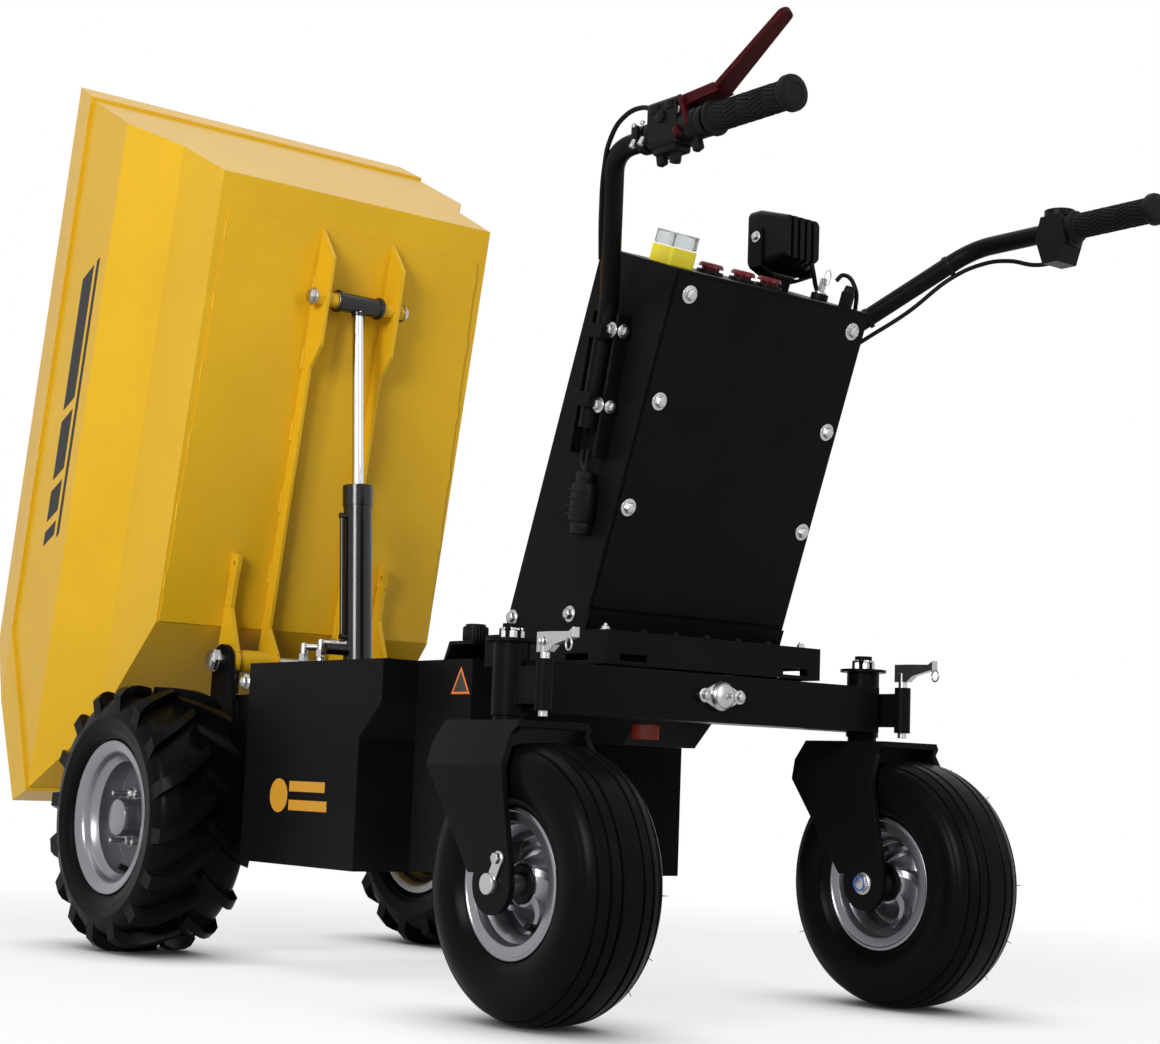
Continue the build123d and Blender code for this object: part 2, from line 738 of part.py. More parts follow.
# ---------------------------------------------------------------- handlebars
for sign, hand in ((1, "left"), (-1, "right")):
    corners = [at(x, sign * y, z) for x, y, z in
               (bar_foot, bar_knee, bar_bend, (bar_end_x, bar_bend[1], bar_bend[2]))]
    with BuildPart() as handlebar:
        with BuildLine() as route:
            FilletPolyline(*corners, radius=(bar_knee_r, bar_bend_r))
        with BuildSketch(Plane(origin=route.line @ 0, z_dir=route.line % 0)):
            Circle(bar_r)
        sweep(path=route.line)
    save(f"handlebar_{hand}", handlebar.part)

    with BuildPart() as grip:
        grip_plane = front(bar_tip_x, sign * bar_bend[1], bar_bend[2])
        with BuildSketch(grip_plane):
            Circle(grip_r)
        extrude(amount=grip_length)
        with BuildSketch(grip_plane.offset(grip_length - grip_flange)):
            Circle(grip_flange_r)
        extrude(amount=grip_flange)
        with BuildSketch(grip_plane.offset(grip_cap)):
            Circle(bar_r + run_gap)
        extrude(amount=grip_length, mode=Mode.SUBTRACT)
    save(f"grip_{hand}", grip.part)

    # folded channel on the console's side, with a saddle at each end that grips the bar
    bar_way = Vector(*bar_knee) - Vector(*bar_foot)
    bar_up = bar_way.normalized()
    channel_plane = Plane(origin=at(bar_foot[0], sign * console_half, bar_foot[2]),
                          x_dir=(bar_up.X, 0, bar_up.Z), z_dir=(0, sign, 0))
    with BuildPart() as bar_bracket:
        for depth, inset in ((channel_depth, 0.0), (channel_depth, clip_wall)):
            with BuildSketch(channel_plane.offset(inset)):
                with Locations(((channel_start + channel_end) / 2, 0)):
                    Rectangle(channel_end - channel_start, channel_width - 2 * inset)
            extrude(amount=depth, mode=Mode.SUBTRACT if inset else Mode.ADD)
        for share in (0.22, 0.76):
            clip = Vector(*bar_foot) + bar_way * share
            with BuildSketch(Plane(origin=at(clip.X, sign * (bar_foot[1] + 1), clip.Z),
                                   x_dir=(0, 1, 0), z_dir=(bar_up.X, 0, bar_up.Z))):
                Rectangle(2 * (bar_r + clip_wall) + 2, 2 * (bar_r + clip_wall))
            extrude(amount=saddle / 2, both=True)
        with BuildSketch(Plane(origin=at(bar_foot[0], sign * bar_foot[1], bar_foot[2]),
                               z_dir=(bar_up.X, 0, bar_up.Z))):
            Circle(bar_r + run_gap)
        extrude(amount=bar_way.length, mode=Mode.SUBTRACT)
    save(f"bar_bracket_{hand}", bar_bracket.part)

# brake housing clamped round the left bar, with its red lever above
with BuildPart() as brake_housing:
    with BuildSketch(front(housing_rear, bar_bend[1], bar_bend[2] + housing_lift)):
        RectangleRounded(housing_width, housing_height, housing_round)
    extrude(amount=housing_front - housing_rear)
    for ring_x, ring_width in ((housing_rear - ring_wide, ring_wide), (housing_front, ring_wide)):
        with BuildSketch(front(ring_x, bar_bend[1], bar_bend[2])):
            Circle(bar_r + clip_wall)
        extrude(amount=ring_width)
    with BuildSketch(front(housing_rear - ring_wide, bar_bend[1], bar_bend[2])):
        Circle(bar_r + run_gap)
    extrude(amount=housing_front - housing_rear + 2 * ring_wide, mode=Mode.SUBTRACT)
save("brake_housing", brake_housing.part)

# pressed lever: side shape and plan shape meet in a blade with a rounded tip
blade_way = Vector(lever_tip[0] - lever_neck[0], 0, lever_tip[1] - lever_neck[1])
blade_length = blade_way.length
blade_plane = Plane(origin=at(lever_neck[0], bar_bend[1], lever_neck[1]), x_dir=tuple(blade_way),
                    z_dir=(blade_way.Z, 0, -blade_way.X))
with BuildPart() as brake_lever:
    with BuildSketch(blade_plane):
        Polygon((0, -lever_neck_half), (blade_length - lever_tip_half, -lever_tip_half),
                (blade_length - lever_tip_half, lever_tip_half), (0, lever_neck_half), align=None)
        with Locations((blade_length - lever_tip_half, 0)):
            Circle(lever_tip_half)
    extrude(amount=lever_wall / 2, both=True)
    with BuildSketch(side(bar_bend[1])):
        Polygon((lever_root[0], lever_root[1] - lever_wall), (lever_root[0], lever_root[1] + lever_wall),
                (lever_neck[0], lever_neck[1] + lever_wall),
                (lever_neck[0] - lever_wall, lever_neck[1] - lever_wall / 2), align=None)
    extrude(amount=lever_neck_half, both=True)
save("brake_lever", brake_lever.part)

# drive control clamped round the right bar: a cap above it and a pod that narrows below it
with BuildPart() as throttle_box:
    with BuildSketch(side(-bar_bend[1])):
        Polygon((control_front, bar_bend[2] + pod_top), (control_rear, bar_bend[2] + pod_top),
                (control_rear - pod_flare, bar_bend[2] - bar_r), (control_rear + pod_narrow, pod_bottom),
                (control_front - pod_narrow, pod_bottom), (control_front + pod_flare, bar_bend[2] - bar_r),
                align=None)
    extrude(amount=pod_half, both=True)
    with BuildSketch(Plane(origin=at((control_front + control_rear) / 2, -bar_bend[1],
                                     bar_bend[2] + pod_top))):
        Circle(pod_half)
    extrude(amount=pod_cap)
    with BuildSketch(front(control_rear - pod_flare, -bar_bend[1], bar_bend[2])):
        Circle(bar_r + run_gap)
    extrude(amount=control_front - control_rear + 2 * pod_flare, mode=Mode.SUBTRACT)
save("throttle_box", throttle_box.part)

# ---------------------------------------------------------------- skip
skip_over = rim_v + beyond
over_share = (skip_over - lip_foot_v) / (lip_v - lip_foot_v)
over_a = lip_foot_a + (lip_a - lip_foot_a) * over_share
(last_v, last_half), (rim_height, rim_half) = skip_section[-2:]
over_half = rim_half + (rim_half - last_half) / (rim_height - last_v) * (skip_over - rim_height)
section_left = [(half, v) for v, half in skip_section] + [(over_half, skip_over)]
skip_rear = -rear_slope * skip_over - beyond
skip_front = lip_a + 2 * beyond
skip_wide = max(half for v, half in skip_section) + beyond
section_corners = section_left + [(-half, v) for half, v in reversed(section_left)]
side_corners = [(0, 0), (floor_length, 0), (lip_foot_a, lip_foot_v), (over_a, skip_over),
                (-rear_slope * skip_over, skip_over)]


def skip_block(grown):
    """The skip's outside with its top left open, grown outward, or inward if negative."""
    with BuildPart() as block:
        with BuildSketch(skip_across(skip_rear)):
            Polygon(*section_corners, align=None)
            if grown:
                offset(amount=grown, kind=Kind.INTERSECTION, mode=Mode.REPLACE)
        extrude(amount=skip_front - skip_rear)
        with BuildSketch(skip_side()):
            Polygon(*side_corners, align=None)
            if grown:
                offset(amount=grown, kind=Kind.INTERSECTION, mode=Mode.REPLACE)
        extrude(amount=skip_wide, both=True, mode=Mode.INTERSECT)
    return block.part


# folded sheet body, cut down toward the pouring lip
skip_outside = skip_block(0)
skip_inside = skip_block(-skin)
with BuildPart() as skip_shell:
    add(skip_outside)
    add(skip_inside, mode=Mode.SUBTRACT)
    with BuildSketch(skip_side()):
        Polygon((skip_rear, rim_v), (knuckle_a, rim_v), (lip_a, lip_v),
                (skip_front, lip_v - (skip_front - lip_a) * (rim_v - lip_v) / (lip_a - knuckle_a)),
                (skip_front, skip_over + beyond), (skip_rear, skip_over + beyond), align=None)
    extrude(amount=skip_wide, both=True, mode=Mode.SUBTRACT)
save("skip_shell", skip_shell.part)

# stiffening band round the outside of the rim and the lip
lip_slope = (rim_v - lip_v) / (lip_a - knuckle_a)
band_reach = 40.0
with BuildPart() as skip_rim:
    add(skip_block(band))
    with BuildSketch(skip_side()):
        Polygon((skip_rear, band_v), (band_knuckle_a, band_v), (lip_foot_a, lip_foot_v),
                (lip_foot_a + band_reach * (lip_v - lip_foot_v) / (lip_a - lip_foot_a) / 2,
                 lip_foot_v - band_reach / 2),
                (lip_a + band_reach, lip_v - band_reach * lip_slope), (knuckle_a, rim_v),
                (skip_rear, rim_v), align=None)
    extrude(amount=skip_wide, both=True, mode=Mode.INTERSECT)
    add(skip_outside, mode=Mode.SUBTRACT)
save("skip_rim", skip_rim.part)

# wearing plate under the floor
with BuildPart() as floor_doubler:
    with BuildSketch(Plane(origin=skip_side().origin, x_dir=tuple(along), z_dir=tuple(inward))):
        Polygon((doubler_rear_a, -doubler_rear_half), (doubler_front_a, -doubler_front_half),
                (doubler_front_a, doubler_front_half), (doubler_rear_a, doubler_rear_half),
                align=None)
    extrude(amount=-doubler)
save("floor_doubler", floor_doubler.part)

# two long ribs under the floor that end in the hinge's inner eyes
eye_outline = [(pivot_a - eye_cheek_behind, pivot_v - eye_cheek_out),
               (pivot_a + eye_lip_ahead, pivot_v + eye_lip_in), (pivot_a - eye_root_behind, -doubler)]
with BuildPart() as skip_ribs:
    for sign in (-1, 1):
        with BuildSketch(skip_side(sign * (rib_y + rib_wall / 2))):
            Polygon((doubler_rear_a, -doubler), (rib_crown_a, -rib_head), (rib_crown_end_a, -rib_head),
                    (rib_waist_a, -rib_slim), (pivot_a - rib_foot_behind, -rib_slim),
                    *eye_outline, align=None)
            with Locations((pivot_a, pivot_v)):
                Circle(knuckle_r)
            with Locations((pivot_a, pivot_v)):
                Circle(tip_pin_r + run_gap, mode=Mode.SUBTRACT)
        extrude(amount=rib_wall / 2, both=True)
save("skip_ribs", skip_ribs.part)

# outer hinge eyes, each with the sleeve that joins it to its rib, and a tab behind a slot
lug_tab_a = lug_top_a + lug_tab
lug_slot_a = lug_tab_a + lug_slot_length
with BuildPart() as hinge_eyes:
    for sign in (-1, 1):
        with BuildSketch(skip_side(sign * (lug_y + lug_wall / 2))):
            Polygon((lug_top_a, -doubler), (lug_top_a, -lug_tab_out), (lug_tab_a, -lug_tab_out),
                    (lug_tab_a, -lug_out), (lug_slot_a, -lug_out), *eye_outline, (lug_slot_a, -doubler),
                    (lug_slot_a, -doubler - lug_slot), (lug_tab_a, -doubler - lug_slot),
                    (lug_tab_a, -doubler), align=None)
            with Locations((pivot_a, pivot_v)):
                Circle(knuckle_r)
            with Locations(((lug_top_a + lug_tab_a) / 2, -(doubler + lug_tab_out) / 2)):
                Circle(lug_hole_r, mode=Mode.SUBTRACT)
        extrude(amount=lug_wall / 2, both=True)
        with BuildSketch(round_at(pivot_x, sign * (rib_y + rib_wall + lug_y) / 2, pivot_z)):
            Circle(sleeve_r)
        extrude(amount=(lug_y - rib_y - rib_wall) / 2, both=True)
        with BuildSketch(round_at(pivot_x, sign * (rib_y + lug_y) / 2, pivot_z)):
            Circle(tip_pin_r + run_gap)
        extrude(amount=lug_y - rib_y, both=True, mode=Mode.SUBTRACT)
save("hinge_eyes", hinge_eyes.part)

# bosses between the ribs that hold the ram's cross tube, with bolt heads outside
eye_place = in_skip(eye_a, eye_v)
with BuildPart() as ram_bosses:
    for sign in (-1, 1):
        inner_y = eye_half + boss_gap
        with BuildSketch(round_at(eye_place.X, sign * (inner_y + rib_y) / 2, eye_place.Z)):
            Circle(boss_r)
        extrude(amount=(rib_y - inner_y) / 2, both=True)
        with BuildSketch(round_at(eye_place.X, sign * (rib_y + rib_wall + boss_head / 2), eye_place.Z)):
            RegularPolygon(boss_head_r, 6)
        extrude(amount=boss_head / 2, both=True)
save("ram_bosses", ram_bosses.part)

# ---------------------------------------------------------------- tipping ram
ram_foot = Vector(ram_foot_x, 0, ram_foot_z)
ram_length = (eye_place - ram_foot).length
ram_way = (eye_place - ram_foot).normalized()


def along_ram(distance):
    """Plane across the ram at a distance from its foot: local y is across the machine."""
    place = ram_foot + ram_way * distance
    return Plane(origin=at(place.X, 0, place.Z), x_dir=(ram_way.Z, 0, -ram_way.X), z_dir=tuple(ram_way))


with BuildPart() as ram_barrel:
    with BuildSketch(along_ram(0)):
        Circle(barrel_r)
    extrude(amount=barrel_length)
    with BuildSketch(along_ram(barrel_length - gland)):
        Circle(gland_r)
    extrude(amount=gland)
    with BuildSketch(round_at(ram_foot_x, 0, ram_foot_z)):
        Circle(ram_eye_r)
    extrude(amount=ram_eye_half, both=True)
    with BuildSketch(along_ram(pipe_low)):
        with Locations((0, pipe_side)):
            Circle(pipe_r)
    extrude(amount=pipe_high - pipe_low)
    for port in (pipe_low + pipe_r, pipe_high - pipe_r):
        with BuildSketch(Plane(origin=along_ram(port).origin, x_dir=tuple(ram_way), z_dir=(0, 1, 0))):
            Circle(pipe_r + slide_gap)
        extrude(amount=pipe_side + pipe_r)
    with BuildSketch(Plane(origin=along_ram(port_at).origin, x_dir=tuple(ram_way), z_dir=(0, 1, 0))):
        Circle(port_r)
    extrude(amount=port_reach)
    with BuildSketch(along_ram(bore_start)):
        Circle(rod_r + run_gap)
    extrude(amount=barrel_length - bore_start, mode=Mode.SUBTRACT)
    with BuildSketch(round_at(ram_foot_x, 0, ram_foot_z)):
        Circle(ram_pin_r + run_gap)
    extrude(amount=2 * ram_eye_half, both=True, mode=Mode.SUBTRACT)
save("ram_barrel", ram_barrel.part)

with BuildPart() as ram_rod:
    with BuildSketch(along_ram(ram_length - rod_length)):
        Circle(rod_r)
    extrude(amount=rod_length)
    with BuildSketch(round_at(eye_place.X, 0, eye_place.Z)):
        Circle(eye_r)
    extrude(amount=eye_half, both=True)
save("ram_rod", ram_rod.part)

# ---------------------------------------------------------------- wheels
# half profile of each tyre: radius, half width, from the bead to the edge of the tread
drive_tyre = [(118.0, 67.0), (128.0, 74.0), (150.0, 80.0), (170.0, 78.0), (185.0, 66.0)]
caster_tyre = [(89.0, 48.0), (100.0, 60.0), (120.0, 63.5), (138.0, 61.0), (155.0, 51.0), (165.0, 32.0)]
# one lug: middle forward, place across, half width forward, from the middle to the shoulder
lug_line = [(34.0, -4.0, 8.5), (-2.0, 38.0, 9.0), (-22.0, 79.0, 10.5)]
# its top: radius, place across
lug_crown = [(drive_r, 54.0), (198.0, 70.0), (187.0, 79.0)]
hub_r = 36.0
caster_hub_r = 24.0
caster_hub_half = 36.0

# a lug of each row about the wheel's axis, with its inner end leading as the wheel rolls forward
tread_lugs = []
for row in (1, -1):
    with BuildPart() as lug:
        with BuildSketch(Plane(origin=(lug_foot_r, 0, 0), x_dir=(0, 1, 0), z_dir=(1, 0, 0))):
            Polygon(*[(c + half, row * w) for c, w, half in lug_line],
                    *[(c - half, row * w) for c, w, half in reversed(lug_line)], align=None)
        extrude(amount=drive_r + lug_over - lug_foot_r)
        with BuildSketch(Plane(origin=(0, 0, 0), x_dir=(1, 0, 0), z_dir=(0, -1, 0))):
            inner_w, outer_w = lug_line[0][1], lug_line[-1][1]
            Polygon((lug_foot_r, row * inner_w), (drive_r + lug_over, row * inner_w),
                    (drive_r + lug_over, row * lug_crown[0][1]),
                    *[(r, row * w) for r, w in lug_crown[1:]], (lug_foot_r, row * outer_w), align=None)
        extrude(amount=drive_r, both=True, mode=Mode.INTERSECT)
        with BuildSketch(Plane.XY):
            Circle(drive_r)
        extrude(amount=drive_r, both=True, mode=Mode.INTERSECT)
    tread_lugs.append(lug.part)

# name, hand, x, y, z, tyre profile, seat radius, hub radius, hub half-lengths inside and outside,
# disc's place from the middle, bore, lugs
caster_x = -caster_behind - caster_trail
wheel_table = [
    ("drive", "left", 0.0, drive_track_half, drive_r, drive_tyre, 101.0, hub_r, hub_in, hub_out, 7.0,
     stub_r, tread_lugs),
    ("drive", "right", 0.0, -drive_track_half, drive_r, drive_tyre, 101.0, hub_r, hub_in, hub_out, 7.0,
     stub_r, tread_lugs),
    ("caster", "left", caster_x, caster_track_half, caster_r, caster_tyre, 73.0, caster_hub_r,
     caster_hub_half, caster_hub_half, 0.0, caster_bolt_r, []),
    ("caster", "right", caster_x, -caster_track_half, caster_r, caster_tyre, 73.0, caster_hub_r,
     caster_hub_half, caster_hub_half, 0.0, caster_bolt_r, []),
]
for kind, hand, x, y, z, profile, seat_r, nave_r, inside, outside, disc_w, bore_r, lugs in wheel_table:
    outward = 1 if y > 0 else -1
    spin_plane = Plane(origin=at(x, y, z), x_dir=(1, 0, 0), z_dir=(0, 0, outward))
    spin_axis = Axis(at(x, y, z), (0, 1, 0))
    flange_r, bead_half = profile[0]
    with BuildPart() as tyre:
        with BuildSketch(spin_plane):
            half = [(seat_r, bead_half)] + profile
            Polygon(*half, *[(r, -w) for r, w in reversed(half)], align=None)
        revolve(axis=spin_axis)
        for row, lug_part in enumerate(lugs):
            with Locations(round_at(x, y, z)):
                with PolarLocations(0, lug_count, start_angle=row * 180 / lug_count):
                    add(lug_part)
    save(f"{kind}_tyre_{hand}", tyre.part)

    # rim with a lip and a seat on each side and a drop centre, and its disc and hub set inward
    drop_r = seat_r - rim_drop
    drop_half = bead_half / 2
    seat_half = drop_half + rim_drop
    outer_half_line = [(flange_r, bead_half + rim_wall), (flange_r, bead_half), (seat_r, bead_half),
                       (seat_r, seat_half), (drop_r, drop_half)]
    inner_half_line = [(drop_r - rim_wall, drop_half), (seat_r - rim_wall, seat_half),
                       (seat_r - rim_wall, bead_half + rim_wall)]
    with BuildPart() as rim:
        with BuildSketch(spin_plane):
            Polygon(*outer_half_line, *[(r, -w) for r, w in reversed(outer_half_line)],
                    *[(r, -w) for r, w in reversed(inner_half_line)], *inner_half_line, align=None)
            Polygon((bore_r + run_gap, -inside), (nave_r, -inside), (nave_r, disc_w - rim_wall),
                    (drop_r - rim_wall / 2, disc_w - rim_wall), (drop_r - rim_wall / 2, disc_w + rim_wall),
                    (nave_r, disc_w + rim_wall), (nave_r, outside), (bore_r + run_gap, outside),
                    align=None)
        revolve(axis=spin_axis)
    save(f"{kind}_rim_{hand}", rim.part)

# ---------------------------------------------------------------- casters
fork_outer_half = fork_inner_half + fork_wall
crown_inner_z = fork_crown_z - fork_wall
for sign, hand in ((1, "left"), (-1, "right")):
    stem_y = sign * caster_track_half
    with BuildPart() as fork:
        with BuildSketch(front(-caster_behind, stem_y, 0)):
            Polygon((-fork_outer_half, caster_r - fork_eye_r), (-fork_outer_half, fork_shoulder_z),
                    (-fork_crown_half, fork_crown_z), (fork_crown_half, fork_crown_z),
                    (fork_outer_half, fork_shoulder_z), (fork_outer_half, caster_r - fork_eye_r),
                    (fork_inner_half, caster_r - fork_eye_r),
                    (fork_inner_half, fork_shoulder_z - fork_wall / 2),
                    (fork_crown_half - fork_wall / 2, crown_inner_z),
                    (fork_wall / 2 - fork_crown_half, crown_inner_z),
                    (-fork_inner_half, fork_shoulder_z - fork_wall / 2),
                    (-fork_inner_half, caster_r - fork_eye_r), align=None)
        extrude(amount=fork_length / 2, both=True)
        with BuildSketch(side(stem_y)):
            with Locations((-caster_behind, 0)):
                Polygon((fork_front, fork_crown_z), (fork_front_bulge, (fork_crown_z + fork_shoulder_z) / 2),
                        (fork_front, fork_shoulder_z), (fork_waist_front, fork_waist_z),
                        (fork_waist_rear, fork_waist_z),
                        (fork_wall - fork_rear, fork_crown_z - 2 * fork_wall),
                        (-fork_rear, fork_crown_z - fork_wall), (-fork_rear, fork_crown_z), align=None)
            with Locations((caster_x, caster_r)):
                Circle(fork_eye_r)
        extrude(amount=fork_outer_half, both=True, mode=Mode.INTERSECT)
        with BuildSketch(Plane(origin=at(-caster_behind, stem_y, fork_crown_z))):
            Circle(thrust_r)
        extrude(amount=stem_tube_low - fork_crown_z)
        with BuildSketch(Plane(origin=at(-caster_behind, stem_y, crown_inner_z))):
            Circle(stem_r)
        extrude(amount=stem_tube_top + stem_cap + side_gap + stem_nut + stem_out - crown_inner_z)
        with BuildSketch(Plane(origin=at(-caster_behind, stem_y, stem_tube_top + stem_cap + side_gap))):
            RegularPolygon(stem_nut_r, 6)
        extrude(amount=stem_nut)
        with BuildSketch(Plane(origin=at(-caster_behind - lock_behind, stem_y, crown_inner_z))):
            Circle(lock_pin_r + slide_gap)
        extrude(amount=fork_wall, mode=Mode.SUBTRACT)
        with BuildSketch(round_at(caster_x, stem_y, caster_r)):
            Circle(caster_bolt_r)
        extrude(amount=2 * fork_outer_half, both=True, mode=Mode.SUBTRACT)
    save(f"caster_fork_{hand}", fork.part)

    # bolt through both legs, with the spacers that centre the wheel
    with BuildPart() as bolt:
        with BuildSketch(round_at(caster_x, stem_y, caster_r)):
            Circle(caster_bolt_r)
        extrude(amount=fork_outer_half + bolt_head, both=True)
        for way in (-1, 1):
            with BuildSketch(round_at(caster_x, stem_y + way * (fork_outer_half + bolt_head / 2),
                                      caster_r)):
                RegularPolygon(bolt_head_r, 6)
            extrude(amount=bolt_head / 2, both=True)
            spacer_y = stem_y + way * (fork_inner_half + caster_hub_half + side_gap) / 2
            with BuildSketch(round_at(caster_x, spacer_y, caster_r)):
                Circle(spacer_r)
            extrude(amount=(fork_inner_half - caster_hub_half - side_gap) / 2, both=True)
    save(f"caster_bolt_{hand}", bolt.part)
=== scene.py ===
"""Looks of the walk-behind site dumper: finishes, fasteners, tyres, cables and studio, in metres."""
import bmesh
import bpy
import json
import random
from math import cos, pi, radians, sin
from mathutils import Matrix, Quaternion, Vector


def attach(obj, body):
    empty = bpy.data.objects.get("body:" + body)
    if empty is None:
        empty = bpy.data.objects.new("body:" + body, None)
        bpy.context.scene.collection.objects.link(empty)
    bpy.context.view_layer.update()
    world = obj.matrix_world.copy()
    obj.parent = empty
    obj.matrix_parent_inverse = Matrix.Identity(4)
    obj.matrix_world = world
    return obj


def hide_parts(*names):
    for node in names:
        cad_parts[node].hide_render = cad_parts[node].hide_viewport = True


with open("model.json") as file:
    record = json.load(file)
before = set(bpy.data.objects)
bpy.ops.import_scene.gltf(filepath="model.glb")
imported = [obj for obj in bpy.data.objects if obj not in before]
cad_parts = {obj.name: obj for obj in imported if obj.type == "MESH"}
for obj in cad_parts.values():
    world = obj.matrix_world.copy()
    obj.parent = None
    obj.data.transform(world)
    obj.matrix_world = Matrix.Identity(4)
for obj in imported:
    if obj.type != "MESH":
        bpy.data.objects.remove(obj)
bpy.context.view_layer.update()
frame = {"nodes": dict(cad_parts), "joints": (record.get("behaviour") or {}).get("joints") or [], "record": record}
scene = bpy.context.scene


# ---------------------------------------------------------------- chassis tub and tail
# Folded and welded steel sheet with a black powder coat.  The coat has a fine orange peel and holds
# a little dust where it faces up; its edges are lighter, rubbed wear with a painted edge highlight.
def new_group(name, inputs, outputs):
    """An empty shader group with named sockets, and its input and output nodes."""
    group = bpy.data.node_groups.new(name, "ShaderNodeTree")
    for label, kind, value in inputs:
        socket = group.interface.new_socket(label, in_out="INPUT", socket_type=kind)
        if value is not None:
            socket.default_value = value
    for label, kind in outputs:
        group.interface.new_socket(label, in_out="OUTPUT", socket_type=kind)
    return group, group.nodes.new("NodeGroupInput"), group.nodes.new("NodeGroupOutput")


def maths(tree, operation, a, b=0.5, clamp=False):
    """The result of a math node; a and b are numbers or sockets."""
    node = tree.nodes.new("ShaderNodeMath")
    node.operation = operation
    node.use_clamp = clamp
    for socket, value in zip(node.inputs, (a, b)):
        if isinstance(value, (int, float)):
            socket.default_value = value
        else:
            tree.links.new(value, socket)
    return node.outputs[0]


def ramp(tree, value, low, high):
    """A clamped map of a value from low..high to 0..1."""
    node = tree.nodes.new("ShaderNodeMapRange")
    node.inputs["From Min"].default_value = low
    node.inputs["From Max"].default_value = high
    tree.links.new(value, node.inputs["Value"])
    return node.outputs["Result"]


def noise(tree, coords, scale, detail=3.0, rough=0.55):
    """Noise over the given coordinates; scale counts features in a metre."""
    node = tree.nodes.new("ShaderNodeTexNoise")
    node.inputs["Scale"].default_value = scale
    node.inputs["Detail"].default_value = detail
    node.inputs["Roughness"].default_value = rough
    tree.links.new(coords, node.inputs["Vector"])
    return node.outputs["Fac"]


def mix_colours(tree, factor, a, b):
    """A colour mix; the factor and the colours are values or sockets."""
    node = tree.nodes.new("ShaderNodeMix")
    node.data_type = "RGBA"
    for socket, value in zip((node.inputs[0], node.inputs[6], node.inputs[7]), (factor, a, b)):
        if isinstance(value, bpy.types.NodeSocket):
            tree.links.new(value, socket)
        else:
            socket.default_value = value if isinstance(value, float) else (*value, 1.0)
    return node.outputs[2]


# rubbed edges and painted edge highlight: where a rounded normal parts from the true one, broken up by noise
edge_group, edge_in, edge_out = new_group(
    "rubbed_and_highlit_edges",
    [("Amount", "NodeSocketFloat", 0.5), ("Coords", "NodeSocketVector", None)],
    [("Mask", "NodeSocketFloat")])
edge_round = edge_group.nodes.new("ShaderNodeBevel")
edge_round.samples = 4
edge_round.inputs["Radius"].default_value = 0.0018
edge_true = edge_group.nodes.new("ShaderNodeNewGeometry")
edge_dot = edge_group.nodes.new("ShaderNodeVectorMath")
edge_dot.operation = "DOT_PRODUCT"
edge_group.links.new(edge_round.outputs["Normal"], edge_dot.inputs[0])
edge_group.links.new(edge_true.outputs["Normal"], edge_dot.inputs[1])
edge_turn = ramp(edge_group, maths(edge_group, "SUBTRACT", 1.0, edge_dot.outputs["Value"]), 0.02, 0.16)
edge_break = ramp(edge_group, noise(edge_group, edge_in.outputs["Coords"], 55.0, 5.0, 0.7), 0.50, 0.66)
edge_mask = maths(edge_group, "MULTIPLY", edge_turn, edge_break)
edge_mask = maths(edge_group, "MULTIPLY", edge_mask, edge_in.outputs["Amount"], clamp=True)
edge_group.links.new(edge_mask, edge_out.inputs["Mask"])

# settled dust: on what faces up and low down, in soft patches
dust_group, dust_in, dust_out = new_group(
    "settled_dust",
    [("Amount", "NodeSocketFloat", 0.3), ("Coords", "NodeSocketVector", None)],
    [("Mask", "NodeSocketFloat")])
dust_normal = dust_group.nodes.new("ShaderNodeNewGeometry")
dust_way = dust_group.nodes.new("ShaderNodeSeparateXYZ")
dust_group.links.new(dust_normal.outputs["Normal"], dust_way.inputs[0])
dust_place = dust_group.nodes.new("ShaderNodeSeparateXYZ")
dust_group.links.new(dust_in.outputs["Coords"], dust_place.inputs[0])
dust_patch = ramp(dust_group, noise(dust_group, dust_in.outputs["Coords"], 9.0, 6.0, 0.65), 0.35, 0.75)
dust_sum = maths(dust_group, "ADD", ramp(dust_group, dust_way.outputs["Z"], 0.1, 1.0),
                 ramp(dust_group, dust_place.outputs["Z"], 0.35, 0.0))
dust_sum = maths(dust_group, "MULTIPLY", dust_sum, dust_patch)
dust_sum = maths(dust_group, "MULTIPLY", dust_sum, dust_in.outputs["Amount"], clamp=True)
dust_group.links.new(dust_sum, dust_out.inputs["Mask"])

# grain: the rounded normal of an edge under a broad wave and a fine grain
grain_group, grain_in, grain_out = new_group(
    "surface_grain",
    [("Grain Scale", "NodeSocketFloat", 900.0), ("Grain", "NodeSocketFloat", 0.1),
     ("Wave Scale", "NodeSocketFloat", 12.0), ("Wave", "NodeSocketFloat", 0.05),
     ("Coords", "NodeSocketVector", None)],
    [("Normal", "NodeSocketVector")])
grain_round = grain_group.nodes.new("ShaderNodeBevel")
grain_round.samples = 4
grain_round.inputs["Radius"].default_value = 0.0012
grain_wide = noise(grain_group, grain_in.outputs["Coords"], 12.0, 2.0, 0.5)
grain_group.links.new(grain_in.outputs["Wave Scale"], grain_wide.node.inputs["Scale"])
grain_fine = noise(grain_group, grain_in.outputs["Coords"], 900.0, 2.0, 0.5)
grain_group.links.new(grain_in.outputs["Grain Scale"], grain_fine.node.inputs["Scale"])
grain_normal = grain_round.outputs["Normal"]
for height, strength, depth in ((grain_wide, "Wave", 0.004), (grain_fine, "Grain", 0.0004)):
    grain_bump = grain_group.nodes.new("ShaderNodeBump")
    grain_bump.inputs["Distance"].default_value = depth
    grain_group.links.new(grain_in.outputs[strength], grain_bump.inputs["Strength"])
    grain_group.links.new(height, grain_bump.inputs["Height"])
    grain_group.links.new(grain_normal, grain_bump.inputs["Normal"])
    grain_normal = grain_bump.outputs["Normal"]
grain_group.links.new(grain_normal, grain_out.inputs["Normal"])


